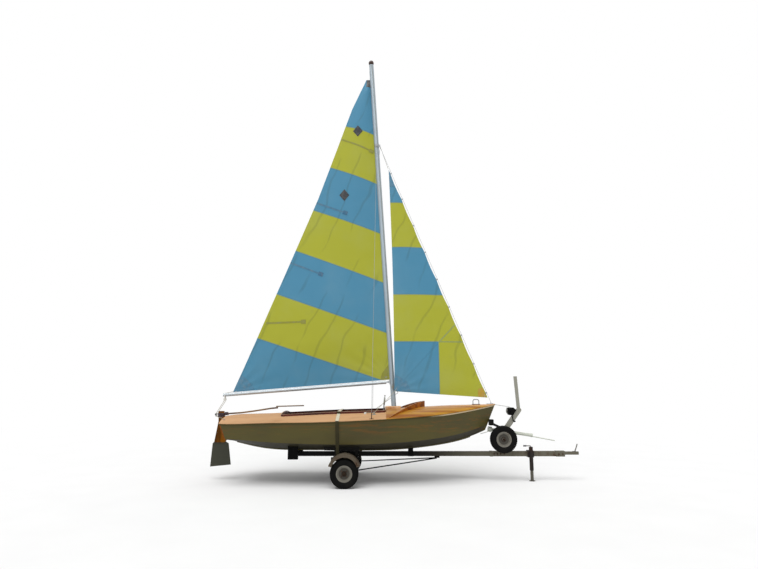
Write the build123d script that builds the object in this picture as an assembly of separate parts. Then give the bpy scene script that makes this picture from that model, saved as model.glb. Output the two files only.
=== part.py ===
from build123d import *
import os
from math import cos, pi, radians, sin, sqrt

# Sailing dinghy with its sails up, standing on a single-axle road trailer.
# Millimetres. +X is towards the bow, +Y is port, +Z is up, and the floor is z = 0.
# The origin is on the floor, under the middle of the whole length.

# Hull: hard chines, a shallow V bottom, a raked transom and a raked stem
HULL_WALL = 10
BOTTOM_SLOPE = 1.03
EDGE_LEAST = 3
TRANSOM_THICK = 20
DECK_THICK = 8
GLUE_LINE = 0.5
STATIONS = (
    # keel x, lean (x per z), keel z, chine half, chine z, sheer half, sheer z, deck camber
    (-2547, -0.267, 600, 520, 664, 620, 896, 81),
    (-2050, -0.12, 497, 594, 642, 697, 905, 103),
    (-1397, 0.0, 466, 650, 612, 758, 920, 123),
    (-797, 0.0, 460, 664, 603, 781, 938, 131),
    (-127, 0.0, 464, 624, 616, 743, 969, 119),
    (480, 0.06, 515, 474, 656, 588, 1007, 114),
    (940, 0.16, 592, 296, 720, 366, 1062, 82),
    (1194, 0.28, 664, 172, 782, 200, 1108, 43),
    (1435, 0.423, 762, 12, 847, 12, 1160, 3),
)
STEM_KNEE_X = 1215

# Cutting blocks reach this far past what they cut and start at this height
BEYOND = 900
UNDER = 300

# What stands on the deck starts at the height of its lowest edge, and is cut off along the deck
DECK_BASE = min(station[6] for station in STATIONS)
SINK = 30

# Cockpit well
COCKPIT_AFT = -1747
COCKPIT_FORE = -140
COCKPIT_HALF = 450
COCKPIT_CORNER = 60
BULKHEAD_THICK = 12
BULKHEAD_OUT = 60
COAMING_THICK = 16
COAMING_BELOW = 55
COAMING_ABOVE = 30
FLOOR_Z = 545
FLOOR_THICK = 12
FLOOR_HALF = 330
FLOOR_END = 20
SLAT_COUNT = 4
SLAT_GAP = 14
BEARER_SHARES = (0.12, 0.5, 0.88)
BEARER_WIDE = 40
BEARER_DEEP = 22

# Centreboard trunk, with the board raised inside it
TRUNK_AFT = -1240
TRUNK_FORE = COCKPIT_FORE - COAMING_THICK - 4
TRUNK_SLOT = 22
TRUNK_SIDE = 17
TRUNK_TOP_AFT = 950
TRUNK_TOP_FORE = 1062
TRUNK_POST = 40
BOARD_THICK = 16
BOARD_LOW = 480
BOARD_END_GAP = 4
BOARD_TOE = (30, 80)
BOARD_HEEL = (90, 140)
BOARD_TOP = (60, 26, -60, -30)

# Outside trim
RUB_RAIL_OUT = 12
RUB_RAIL_HIGH = 20
RUB_RAIL_DROP = 2
KEEL_STRIP_HALF = 24
KEEL_STRIP_THICK = 12

# Splash boards: a V on the foredeck, open towards the cockpit
SPLASH_THICK = 12
SPLASH_AFT = (-91, 700)
SPLASH_APEX = (479, 0)
SPLASH_TOP = (
    # distance along the board, height of its top
    (0, 998), (210, 1066), (500, 1150), (903, 1217),
)

# Mast and its fittings
MAST_FOOT_X = -10
MAST_FOOT_Z = 1134
MAST_LEAN = 3.6
MAST_LENGTH = 5955
MAST_FORE_AFT = 76
MAST_WIDE = 58
MAST_FIT = 0.2
MAST_FACETS = 16
SPAR_WALL = 3
BALL_SIZE = 46
BALL_PROFILE = (
    # radius and height, as shares of the ball's size
    (0, 0), (0.6, 0), (0.94, 0.3), (1.0, 0.78), (0.8, 1.35), (0.42, 1.68), (0, 1.75),
)
STEP_BACK = 2
STEP_FORE = 98
STEP_SINK = 16
STEP_HALF = 120
STEP_BEVEL = 12
HOUNDS_UP = 4420
HOUNDS_PLATE = 4
HOUNDS_HIGH = 60
TANG_LONG = 30
TANG_HIGH = 40
TANG_OUT = 22
STAY_RADIUS = 2.5
CHAINPLATE_X = -357
CHAINPLATE_IN = 26
CHAINPLATE_BASE = (60, 24, 4)
TURNBUCKLE_LONG = 90
TURNBUCKLE_RADIUS = 7
FORESTAY_FOOT = (1542, 1196)
FORESTAY_OUT = 20
STEM_PLATE_X = (-70, 40)
STEM_PLATE_HALF = 14
STEM_PLATE_THICK = 6
HOOP_X = (1256, 1350)
HOOP_HIGH = 80
HOOP_RADIUS = 7
HOOP_BEND = 30
HOOP_FACETS = 12

# Boom, which swings about a pin parallel to the mast
BOOM_RADIUS = 27
BOOM_PIN_Z = 1517
BOOM_AFT = (-2743, 1307)
BOOM_START = 34
BOOM_PLUG = 12
BOOM_LUG = 12
BLOCK_BACK = 30
BLOCK_DROP = 44
BLOCK_RADIUS = 24
BLOCK_WIDE = 22
BLOCK_STRAP = (12, 3, 26)
GOOSENECK_BACK = 24
GOOSENECK_PLATE = (10, 35, 82)
GOOSENECK_SEAT = 2
PIN_RADIUS = 5
PIN_GAP = 0.3
TANG_THICK = 5
TANG_SPREAD = 26
TANG_PAST = 11
TANG_LAP = 3
LUG_PLAY = 2

# Sails
SAIL_THICK = 4
LUFF_BACK = 62
MAIN_HEAD_UP = 5665
MAIN_TACK_UP = 420
MAIN_LEECH = ((-2236, 2187), (-1886, 3014), (-1252, 4569), (-707, 6216))
MAIN_CLEW_X = -2590
MAIN_HEAD_WIDE = 42
BATTENS = (
    # leech end x, z, luff end x, z
    (-872, 5740, -370, 5533),
    (-1254, 4490, -770, 4310),
    (-1665, 3480, -1170, 3300),
    (-2090, 2460, -1490, 2480),
)
BATTEN_WIDE = 34
BATTEN_THICK = 3
JIB_HEAD = (-80, 5110)
JIB_TACK = (1496, 1268)
JIB_CLEW = (0, 1366)
JIB_CLEW_Y = -125
HANK_COUNT = 9
HANK_LONG = 22
HANK_WALL = 3
HANK_GRIP = 6
HANK_GAP = 0.3

# Rudder: cheeks that carry a lifting blade
RUDDER_GAP = 42
GUDGEON_UP = (95, 330)
GUDGEON_HIGH = 18
GUDGEON_RADIUS = 13
GUDGEON_ARM = 16
GUDGEON_PLATE = (4, 60)
PINTLE_STRAP = 3
PINTLE_HIGH = 10
PINTLE_PIN = (-32, 8)
PINTLE_HEAD = (-7, 17)
PINTLE_REACH = (8, 80)
PINTLE_PLAY = 1
CHEEK_THICK = 14
BLADE_THICK = 8
BLADE_CLEAR = 1
BLADE_PIVOT = (-2763, 670)
BLADE_BOLT = 6
BOLT_PAST = 6
HEAD_FILLER_LOW = 800
HEAD_OUTLINE = (
    (-2716, 1056), (-2802, 1056), (-2795, 900), (-2849, 575),
    (-2681, 575), (-2628, 650), (-2700, 930),
)
BLADE_OUTLINE = (
    (-2720, 735), (-2806, 735), (-2830, 600), (-2874, 560),
    (-2898, 205), (-2574, 235), (-2622, 560), (-2690, 600),
)
TILLER_ROUTE = (
    (-2812, 1012), (-2655, 1016), (-2440, 1030), (-2226, 1058), (-1955, 1100), (-1860, 1108),
)
TILLER_WIDE = 24
EXTENSION_END = (-1446, 1141)
EXTENSION_RADIUS = 9
EXTENSION_LAP = 30

# Trailer spine and coupler
SPINE_SIDE = 76
SPINE_WALL = 4
SPINE_TOP = 440
SPINE_MIDDLE = SPINE_TOP - SPINE_SIDE / 2
SPINE_AFT = -1560
SPLICE_X = 1540
SPLICE_LONG = 46
TUBE_AFT_SIDE = 70
TUBE_AFT_TOP = SPINE_MIDDLE + TUBE_AFT_SIDE / 2
STEEL_GAP = 0.2
TONGUE_END = 2660
COUPLER_TIP = 2899
COUPLER_WALL = 12
COUPLER_SLEEVE = 130
COUPLER_SKIN = 4
COUPLER_LAP = 10
NOSE_LOW = 14
NOSE_HIGH = 30
NOSE_ROOF = 16
WAIST_IN = 2
COLLAR_WALL = 3
BALL_RADIUS = 25.4
BALL_CLEAR = 0.4
LATCH_ROUTE = ((2842, 440), (2866, 498), (2884, 550))
LATCH_THICK = 12
LATCH_WIDE = 16
LATCH_BASE = (-40, 10)

# Axle, wheels and springs
AXLE_X = -748
WHEEL_Z = 206.5
WHEEL_Y = 750
TYRE_RADIUS = 206.5
TYRE_WIDE = 120
TREAD_HALF = 50
BEAD_IN = 18
RIM_RADIUS = 102
RIM_LIP = 118
RIM_WALL = 5
DISC_FACES = (12, 20)
HUB_RADIUS = 34
HUB_HALF = 40
AXLE_SIDE = 44
AXLE_IN = 8
STUB_RADIUS = 13
STUB_OUT = 34
STUB_GAP = 0.3
SPRING_Y = 560
SPRING_LONG = 400
SPRING_RISE = 40
SPRING_WIDE = 44
SPRING_LEAF = 7
LEAF_SHARES = (1.0, 0.7, 0.42)
HANGER_LONG = 20
HANGER_OUT = 5
RAIL_SIDE = 50
RAIL_Z = 385
RAIL_OVER = 8
CROSS_X = (-905, -591)
CROSS_WIDE = 50
CLAMP_DEEP = 20
CLAMP_OUT = 40
FENDER_RADIUS = 236
FENDER_Z = 252
FENDER_WALL = 3
FENDER_WIDE = 176
FENDER_LIP = 48
FENDER_ENDS = (16, 164)
FENDER_STAY = 40
STAY_THICK = 5
STAY_SINK = 2
BRACE_RADIUS = 9
BRACE_START_Y = 600
BRACE_JOIN = (658, 345)
BRACE_LUG = (628, 703)
BRACE_LUG_HALF = 34
BRACE_LUG_LOW = 4
BRACE_IN = 10

# What the hull rests on
REST_GAP = 1
BUNK_Y = 340
BUNK_AFT = -1085
BUNK_LONG = 540
BUNK_WIDE = 110
BUNK_THICK = 45
BUNK_POST = 40
CRADLE_X = -1559
CRADLE_LONG = 150
CRADLE_Y = 290
CRADLE_WIDE = 80
CRADLE_LOW = 350
CRADLE_BEAM = 60
PROP_X = 251
PROP_LONG = 78
PROP_PLATE = 6
PROP_CAP_Z = 455

# Tie-down strap over the cockpit
STRAP_X = -858
STRAP_WIDE = 50
STRAP_THICK = 3
STRAP_GAP = 2
STRAP_CHINE = (668, 598)
STRAP_STEPS = 4

# Front of the trailer
SPARE = (1695, -135, 631)
SPARE_PLATE = 45
SPARE_STUD = 9
STUD_PAST = 24
SPARE_NUT = (24, 10)
POST_ROUTE = ((1680, 440), (1727, 731), (1980, 1072))
POST_WIDE = 76
POST_DEEP = 50
CRUTCH_TOP = (1946, 1603)
CRUTCH_WIDE = 48
CRUTCH_DEEP = 35
WINCH = (1843, 1056)
WINCH_DRUM = 42
WINCH_HALF = 37
WINCH_PLATE = 4
WINCH_SIDE = (
    # x and z of the side plate's corners, from the drum's middle
    (-46, 52), (50, 56), (92, 16), (36, -66), (-30, -60), (-50, -20),
)
WINCH_BASE = (120, 20)
CRANK_THROW = (30, -150)
CRANK_RADIUS = 8
HANDLE_RADIUS = 13
HANDLE_LONG = 96
CHOCK = (1526, 881)
CHOCK_HALF = (22, 60, 45)
CHOCK_BACK = 18
CHOCK_DENT = 2
CHOCK_BAR = (36, 20)
CHOCK_BAR_DROP = 20
CHOCK_BAR_END = (20, 40)
ARM_AFT = (1522, 770)
ARM_FORE = (2176, 677)
ARM_RADIUS = 25
ARM_KNOB = (42, 56)
ARM_CAP = 4
ARM_STUB = 16
ARM_STUB_BACK = 10
ROD_FORE = (2552, 593)
ROD_RADIUS = 8
ROD_DROP = 15
ARM_Y = 70
JACK_X = 2128
JACK_Y = -80
JACK_TOP = 512
JACK_SLEEVE = 30
JACK_SLEEVE_END = 160
JACK_LEG = 24
JACK_GAP = 0.4
JACK_LID = 8
JACK_CLAMP_HALF = 45
JACK_CLAMP_WALL = 12
JACK_OVERLAP = 30
JACK_FOOT = 45
JACK_FOOT_THICK = 8


def block(low, high):
    """Box between two corners."""
    size = [b - a for a, b in zip(low, high)]
    middle = [(a + b) / 2 for a, b in zip(low, high)]
    return Pos(*middle) * Box(*size)


def slice_x(low, high):
    """Block across the whole boat between two values of x."""
    return block((low, -BEYOND, 0), (high, BEYOND, 2 * BEYOND))


def rod(start, end, radius):
    """Round bar between two points."""
    start, end = Vector(*start), Vector(*end)
    return Plane(origin=start, z_dir=end - start) * extrude(Circle(radius), (end - start).length)


def across(x, z, radius, wide):
    """Round bar along y, centred on the boat's middle plane."""
    return Pos(x, 0, z) * Rot(90, 0, 0) * Cylinder(radius, wide)


def flat_bar(start, end, wide, deep):
    """Rectangular bar between two points of the xz plane, wide across it and deep in y."""
    start, end = Vector(start[0], 0, start[1]), Vector(end[0], 0, end[1])
    plane = Plane(origin=start, x_dir=(0, 1, 0), z_dir=end - start)
    return plane * extrude(Rectangle(deep, wide), (end - start).length)


def side_plate(outline, y_low, y_high):
    """Plate with its outline in x and z, between two values of y."""
    face = make_face(Polyline(*[(x, y_low, z) for x, z in outline], close=True))
    return extrude(face, amount=y_high - y_low, dir=(0, 1, 0))


def plan_plate(outline, z_low, z_high):
    """Plate with its outline in x and y, between two values of z."""
    face = make_face(Polyline(*[(x, y, z_low) for x, y in outline], close=True))
    return extrude(face, amount=z_high - z_low, dir=(0, 0, 1))


def turned(outline, axis):
    """Solid of revolution from a closed outline in the plane that holds x and the axis."""
    return revolve(make_face(Polyline(*outline, close=True)), axis, 360)


def both_sides(shape):
    """The shape and its mirror image across the centreline."""
    return Part() + [shape, mirror(shape, Plane.XZ)]


def arch_rise(station, y):
    """How far the arched deck stands above its edge, at a distance from the centreline."""
    half, camber = station[5], station[7]
    radius = (half ** 2 + camber ** 2) / (2 * camber)
    return sqrt(radius ** 2 - y ** 2) - radius + camber


def section_point(station, half, z):
    """Point of a leaning hull section, from its half width and height."""
    keel_x, lean, keel_z = station[:3]
    return Vector(keel_x + lean * (z - keel_z), half, z)


def hull_section(station, inset, arched):
    """Closed outline of the hull at a station, with a flat or an arched top."""
    keel_z, chine_half, chine_z, sheer_half, sheer_z, camber = station[2:]
    chine, sheer = max(chine_half - inset, EDGE_LEAST), max(sheer_half - inset, EDGE_LEAST)
    rise = inset * BOTTOM_SLOPE
    top = sheer_z + (arch_rise(station, sheer) if arched else 0)
    low = chine_z + rise
    corners = [(-sheer, top), (-chine, low), (0, keel_z + rise), (chine, low), (sheer, top)]
    points = [section_point(station, y, z) for y, z in corners]
    sides = Polyline(*points)
    if not arched:
        return make_face(sides + Line(points[-1], points[0]))
    crown = section_point(station, 0, sheer_z + camber)
    return make_face(sides + ThreePointArc(points[-1], crown, points[0]))


def hull_block(inset, arched):
    """Solid through all the stations."""
    return loft([hull_section(station, inset, arched) for station in STATIONS])


def deck_band(low, high):
    """Solid that follows the arched deck, between two heights above its underside."""
    faces = []
    for station in STATIONS:
        edge, sheer_z, camber = station[5:]
        edges = [(side * edge, sheer_z + lift) for lift in (low, high) for side in (-1, 1)]
        corner = [section_point(station, *place) for place in edges]
        crown = [section_point(station, 0, sheer_z + camber + lift) for lift in (low, high)]
        outline = ThreePointArc(corner[0], crown[0], corner[1]) + Line(corner[1], corner[3])
        outline += ThreePointArc(corner[3], crown[1], corner[2]) + Line(corner[2], corner[0])
        faces.append(make_face(outline))
    return loft(faces)


def transom_slab(fore, aft):
    """Leaning slab between two distances forward of the transom's outer face."""
    keel_x, lean, keel_z = STATIONS[0][:3]
    low, high = UNDER, UNDER + BEYOND
    foot, head = keel_x + lean * (low - keel_z), keel_x + lean * (high - keel_z)
    outline = [(foot + aft, low), (foot + fore, low), (head + fore, high), (head + aft, high)]
    return side_plate(outline, -BEYOND, BEYOND)


def trunk_slot(high):
    """Space inside the centreboard trunk, down through the hull's bottom."""
    low = (TRUNK_AFT + TRUNK_POST, -TRUNK_SLOT / 2, UNDER)
    return block(low, (TRUNK_FORE - TRUNK_POST, TRUNK_SLOT / 2, high))


outer_hull = hull_block(0, False)
arched_hull = hull_block(0, True)
inner_hull = hull_block(HULL_WALL, True) - slice_x(STEM_KNEE_X, STEM_KNEE_X + BEYOND)
deck_cutter = deck_band(-BEYOND / 2, GLUE_LINE + DECK_THICK + GLUE_LINE)


def sheer_at(x):
    """Half width and height of the sheer at x."""
    box = (outer_hull & slice_x(x - 1, x + 1)).bounding_box()
    return box.max.Y, box.max.Z


def deck_top(x, y):
    """Height of the deck's upper face."""
    probe = rod((x, y, UNDER), (x, y, UNDER + 2 * BEYOND), 1)
    return (deck_cutter & probe).bounding_box().max.Z - GLUE_LINE


def trunk_top(x):
    """Height of the trunk's sloping top."""
    share = (x - TRUNK_AFT) / (TRUNK_FORE - TRUNK_AFT)
    return TRUNK_TOP_AFT + share * (TRUNK_TOP_FORE - TRUNK_TOP_AFT)


def make_hull():
    """Plywood bottom and sides with a solid stem, open at the stern for the transom."""
    shell = outer_hull - inner_hull - transom_slab(TRANSOM_THICK, -BULKHEAD_OUT)
    return shell - trunk_slot(2 * UNDER)


def make_transom():
    """Raked transom board, set flush with the planking."""
    return arched_hull & transom_slab(TRANSOM_THICK - GLUE_LINE, 0)


def make_deck():
    """Whole deck panel with the cockpit cut out of it."""
    panel = deck_band(GLUE_LINE, GLUE_LINE + DECK_THICK)
    outline = RectangleRounded(COCKPIT_FORE - COCKPIT_AFT, 2 * COCKPIT_HALF, COCKPIT_CORNER)
    return panel - Pos((COCKPIT_AFT + COCKPIT_FORE) / 2, 0, UNDER) * extrude(outline, BEYOND)


def make_coaming():
    """Frame round the cockpit opening, standing a little above the deck."""
    length, width = COCKPIT_FORE - COCKPIT_AFT, 2 * COCKPIT_HALF
    clear = 2 * GLUE_LINE
    outer = RectangleRounded(length - clear, width - clear, COCKPIT_CORNER - GLUE_LINE)
    wall = 2 * COAMING_THICK
    inner = RectangleRounded(length - wall, width - wall, COCKPIT_CORNER - COAMING_THICK)
    ring = Pos((COCKPIT_AFT + COCKPIT_FORE) / 2, 0, UNDER) * extrude(outer - inner, BEYOND)
    return ring & deck_band(-COAMING_BELOW, DECK_THICK + COAMING_ABOVE)


def make_bulkheads():
    """Plywood walls across the hull, aft and forward of the cockpit."""
    places = (COCKPIT_AFT - BULKHEAD_OUT, COCKPIT_FORE + BULKHEAD_OUT)
    walls = Part() + [inner_hull & slice_x(x, x + BULKHEAD_THICK) for x in places]
    return walls - deck_band(0, DECK_THICK)


def make_floor():
    """Slatted floorboards on bearers, each side of the trunk."""
    inner_edge = TRUNK_SLOT / 2 + TRUNK_SIDE + SLAT_GAP
    slat = (FLOOR_HALF - inner_edge - SLAT_GAP * (SLAT_COUNT - 1)) / SLAT_COUNT
    aft = COCKPIT_AFT - BULKHEAD_OUT + BULKHEAD_THICK + FLOOR_END
    fore = COCKPIT_FORE + BULKHEAD_OUT - FLOOR_END
    pieces = []
    for number in range(SLAT_COUNT):
        y = inner_edge + number * (slat + SLAT_GAP)
        pieces.append(block((aft, y, FLOOR_Z), (fore, y + slat, FLOOR_Z + FLOOR_THICK)))
    for share in BEARER_SHARES:
        x = aft + share * (fore - aft) - BEARER_WIDE / 2
        pieces.append(block((x, inner_edge, FLOOR_Z - BEARER_DEEP), (x + BEARER_WIDE, FLOOR_HALF, FLOOR_Z)))
    half = Part() + pieces
    return both_sides(half & inner_hull)


def trunk_panel(aft, fore, y_low, y_high):
    """Upright panel of the trunk between two values of x, up to its sloping top."""
    outline = [(aft, UNDER), (fore, UNDER), (fore, trunk_top(fore)), (aft, trunk_top(aft))]
    return side_plate(outline, y_low, y_high)


def make_trunk():
    """Two trunk sides held apart by end posts."""
    half = TRUNK_SLOT / 2
    trunk = both_sides(trunk_panel(TRUNK_AFT, TRUNK_FORE, half, half + TRUNK_SIDE))
    trunk += trunk_panel(TRUNK_AFT, TRUNK_AFT + TRUNK_POST, -half, half)
    trunk += trunk_panel(TRUNK_FORE - TRUNK_POST, TRUNK_FORE, -half, half)
    return trunk & inner_hull


def make_centreboard():
    """Board drawn fully up into its trunk."""
    end_gap = TRUNK_POST + BOARD_END_GAP
    aft, fore = TRUNK_AFT + end_gap, TRUNK_FORE - end_gap
    back, rise, aft_drop, fore_drop = BOARD_TOP
    outline = [
        (aft + BOARD_HEEL[0], BOARD_LOW), (fore - BOARD_TOE[0], BOARD_LOW), (fore, BOARD_LOW + BOARD_TOE[1]),
        (fore, trunk_top(fore) + fore_drop), (aft + back, trunk_top(aft) + rise),
        (aft, trunk_top(aft) + aft_drop), (aft, BOARD_LOW + BOARD_HEEL[1]),
    ]
    return side_plate(outline, -BOARD_THICK / 2, BOARD_THICK / 2)


def make_rub_rails():
    """Wooden strips along both edges of the deck."""
    faces = []
    for station in STATIONS:
        sheer_half, sheer_z = station[5:7]
        inner = sheer_half + GLUE_LINE
        outer = inner + RUB_RAIL_OUT
        low, high = sheer_z - RUB_RAIL_HIGH, sheer_z - RUB_RAIL_DROP
        corners = [(inner, low), (outer, low), (outer, high), (inner, high)]
        faces.append(make_face(Polyline(*[section_point(station, y, z) for y, z in corners], close=True)))
    return both_sides(loft(faces))


def make_splash_board():
    """One arm of the V, tall at the apex and running out to nothing at the deck's edge."""
    start, end = Vector(*SPLASH_AFT), Vector(*SPLASH_APEX)
    forward = (end - start).normalized()
    points = [start + forward * along for along, z in SPLASH_TOP[:-1]] + [end]
    top = [Vector(point.X, point.Y, z) for point, (along, z) in zip(points, SPLASH_TOP)]
    low = [Vector(end.X, end.Y, DECK_BASE), Vector(start.X, start.Y, DECK_BASE)]
    edge = Polyline(top[0], top[1]) + ThreePointArc(top[1], top[2], top[3]) + Polyline(top[3], *low, top[0])
    board = extrude(make_face(edge), amount=SPLASH_THICK / 2, dir=(-forward.Y, forward.X, 0), both=True)
    other_side = block((-BEYOND, -BEYOND, UNDER), (BEYOND, 0, 2 * BEYOND))
    return board - other_side - deck_cutter


def mast_place(up, back=0.0):
    """Location on the mast's centreline, a distance up from its foot, turned to its lean."""
    lean = radians(MAST_LEAN)
    x = MAST_FOOT_X - up * sin(lean) - back * cos(lean)
    z = MAST_FOOT_Z + up * cos(lean) - back * sin(lean)
    return Location((x, 0, z), (0, -MAST_LEAN, 0))


def mast_prism(grow, height):
    """Many-sided prism just outside the mast's oval, for collars and what is cut to fit it."""
    outside = 1 / cos(pi / MAST_FACETS)
    reach = (MAST_FORE_AFT / 2 + grow) * outside, (MAST_WIDE / 2 + grow) * outside
    turns = [2 * pi * number / MAST_FACETS for number in range(MAST_FACETS)]
    outline = [(reach[0] * cos(turn), reach[1] * sin(turn)) for turn in turns]
    return Pos(0, 0, -height / 2) * plan_plate(outline, 0, height)


def make_mast():
    """Oval aluminium tube."""
    inside = Ellipse(MAST_FORE_AFT / 2 - SPAR_WALL, MAST_WIDE / 2 - SPAR_WALL)
    wall = Ellipse(MAST_FORE_AFT / 2, MAST_WIDE / 2) - inside
    return mast_place(-STEP_SINK) * extrude(wall, MAST_LENGTH + STEP_SINK)


def make_mast_step():
    """Wooden block on the foredeck that the mast stands on."""
    low = (COCKPIT_FORE + STEP_BACK, -STEP_HALF, DECK_BASE)
    blank = block(low, (STEP_FORE, STEP_HALF, MAST_FOOT_Z))
    blank = chamfer(blank.edges().filter_by(Axis.X).group_by(Axis.Z)[-1], STEP_BEVEL)
    socket = mast_place(STEP_SINK - MAST_FIT) * mast_prism(MAST_FIT, 4 * STEP_SINK)
    return blank - deck_cutter - socket


def make_mast_ball():
    """Turned wooden cap on the mast's top."""
    outline = [(radius * BALL_SIZE, 0, height * BALL_SIZE) for radius, height in BALL_PROFILE]
    return mast_place(MAST_LENGTH) * turned(outline, Axis.Z)


def hounds_point():
    """Middle of the tangs that the stays meet."""
    return mast_place(HOUNDS_UP).position


def make_hounds():
    """Steel collar round the mast with tangs for the stays."""
    collar = mast_prism(MAST_FIT + HOUNDS_PLATE, HOUNDS_HIGH)
    side_tangs = Box(TANG_LONG, MAST_WIDE + 2 * TANG_OUT, TANG_HIGH)
    fore_tang = Pos(TANG_OUT, 0, 0) * Box(MAST_FORE_AFT + 2 * HOUNDS_PLATE, 2 * HOUNDS_PLATE, TANG_HIGH)
    fitting = collar + side_tangs + fore_tang - mast_prism(MAST_FIT, 2 * HOUNDS_HIGH)
    return mast_place(HOUNDS_UP) * fitting


def chainplate_point():
    """Where the chainplate comes out of the deck."""
    y = sheer_at(CHAINPLATE_X)[0] - CHAINPLATE_IN
    return Vector(CHAINPLATE_X, y, deck_top(CHAINPLATE_X, y))


def shroud_foot(gap=0.0):
    """Top of the turnbuckle, where the shroud's wire begins."""
    foot = chainplate_point()
    return foot + (hounds_point() - foot).normalized() * (TURNBUCKLE_LONG + gap)


def make_shrouds():
    """Side stays from the hounds to the chainplates."""
    top = hounds_point() + Vector(0, (MAST_WIDE + TANG_OUT) / 2 + HOUNDS_PLATE, -TANG_HIGH / 2 - 1)
    return both_sides(rod(shroud_foot(GLUE_LINE), top, STAY_RADIUS))


def make_chainplates():
    """Strap and turnbuckle at each shroud's foot."""
    foot = chainplate_point()
    long, wide, thick = CHAINPLATE_BASE
    base = block((-long / 2, -wide / 2, -SINK), (long / 2, wide / 2, thick))
    fitting = Pos(foot.X, foot.Y, foot.Z) * base + rod(foot, shroud_foot(), TURNBUCKLE_RADIUS)
    return both_sides(fitting - deck_cutter)


def forestay_ends():
    """Lower and upper ends of the forestay's wire."""
    foot = Vector(FORESTAY_FOOT[0], 0, FORESTAY_FOOT[1])
    return foot, hounds_point() + Vector(MAST_FORE_AFT / 2 + FORESTAY_OUT, 0, -TANG_HIGH / 2 - 1)


def make_forestay():
    """Wire from the hounds to the stem head."""
    foot, top = forestay_ends()
    return rod(foot, top, STAY_RADIUS)


def make_stem_fitting():
    """Metal plate over the stem head, with a riser for the forestay."""
    x, z = FORESTAY_FOOT
    top = deck_top(x, 0)
    aft, fore = (x + reach for reach in STEM_PLATE_X)
    low, high = (aft, -STEM_PLATE_HALF, top - SINK), (fore, STEM_PLATE_HALF, top + STEM_PLATE_THICK)
    riser = rod((x, 0, top - SINK), (x, 0, z - 1), TURNBUCKLE_RADIUS)
    return block(low, high) + riser - deck_cutter - outer_hull


def make_bow_hoop():
    """Low U-shaped handle on the foredeck, with a flat pad under each leg."""
    aft, fore = HOOP_X
    base = deck_top(aft, 0) - GLUE_LINE
    crown = base + HOOP_HIGH
    corners = [(aft, 0, base), (aft, 0, crown), (fore, 0, crown), (fore, 0, base)]
    section = Plane(origin=corners[0], z_dir=(0, 0, 1)) * RegularPolygon(HOOP_RADIUS, HOOP_FACETS)
    hoop = sweep(section, FilletPolyline(*corners, radius=HOOP_BEND))
    reach = 2 * HOOP_RADIUS
    for x in HOOP_X:
        hoop += block((x - reach, -reach, base - reach), (x + reach, reach, base + HOOP_RADIUS))
    return hoop - deck_cutter


def boom_pin():
    """Middle of the pin that the boom swings on."""
    up = (BOOM_PIN_Z - MAST_FOOT_Z) / cos(radians(MAST_LEAN))
    return mast_place(up, MAST_FORE_AFT / 2 + GOOSENECK_BACK)


def make_gooseneck():
    """Bracket on the mast with two tangs and the upright pin."""
    thick, wide, high = GOOSENECK_PLATE
    reach, fore = GOOSENECK_BACK, GOOSENECK_BACK + GOOSENECK_SEAT
    plate = block((fore - thick, -wide / 2, -high / 2), (fore, wide / 2, high / 2))
    tangs = Part()
    for side in (-1, 1):
        z = side * (TANG_SPREAD + TANG_THICK) / 2
        low, top = z - TANG_THICK / 2, z + TANG_THICK / 2
        tangs += block((-TANG_PAST, -BOOM_LUG, low), (reach + TANG_LAP, BOOM_LUG, top))
    pin = Cylinder(PIN_RADIUS, TANG_SPREAD + 2 * TANG_THICK)
    mast_hole = Pos(reach + MAST_FORE_AFT / 2, 0, 0) * mast_prism(MAST_FIT, 8 * TANG_SPREAD)
    return boom_pin() * (plate + tangs + pin - mast_hole)


def boom_line():
    """Start and end of the boom tube's centreline, and its direction."""
    pin = boom_pin().position
    end = Vector(BOOM_AFT[0], 0, BOOM_AFT[1])
    along = (end - pin).normalized()
    return pin + along * BOOM_START, end, along


def make_boom():
    """Boom tube with plugged ends, and the lug that turns on the gooseneck pin."""
    start, end, along = boom_line()
    plug = along * BOOM_PLUG
    tube = rod(start, end, BOOM_RADIUS) - rod(start + plug, end - plug, BOOM_RADIUS - SPAR_WALL)
    height, reach, half = TANG_SPREAD - LUG_PLAY, BOOM_START + BOOM_PLUG / 2, 0.75 * BOOM_LUG
    neck = block((-reach, -half, -height / 2), (0, half, height / 2))
    lug = boom_pin() * (Cylinder(BOOM_LUG, height) + neck)
    hole = boom_pin() * Cylinder(PIN_RADIUS + PIN_GAP, 4 * TANG_SPREAD)
    return tube + lug - hole


def make_mainsheet_block():
    """Pulley hung below the boom's end."""
    start, end, along = boom_line()
    hang = end - along * BLOCK_BACK
    top = hang.Z - BOOM_RADIUS - GLUE_LINE
    wide, wall, deep = BLOCK_STRAP
    out = BOOM_RADIUS + wall
    strap = block((hang.X - wide / 2, -out, top - deep), (hang.X + wide / 2, out, hang.Z))
    strap -= rod(start, end, BOOM_RADIUS + STEEL_GAP)
    return strap + across(hang.X, top - BLOCK_DROP, BLOCK_RADIUS, BLOCK_WIDE)


def luff_point(up):
    """Point of the mainsail's luff at a height up the mast."""
    return mast_place(up, LUFF_BACK).position


def foot_point(x):
    """Point of the sail's foot, just above the boom."""
    start, end, along = boom_line()
    return x, start.Z + (x - start.X) * along.Z / along.X + BOOM_RADIUS / -along.X + 1


def make_mainsail():
    """Mainsail as a thin flat panel, its foot just above the boom."""
    tack, head = luff_point(MAIN_TACK_UP), luff_point(MAIN_HEAD_UP)
    outline = [foot_point(tack.X), foot_point(MAIN_CLEW_X)] + list(MAIN_LEECH)
    outline += [(head.X - MAIN_HEAD_WIDE, head.Z), (head.X, head.Z)]
    return side_plate(outline, -SAIL_THICK / 2, SAIL_THICK / 2)


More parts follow.
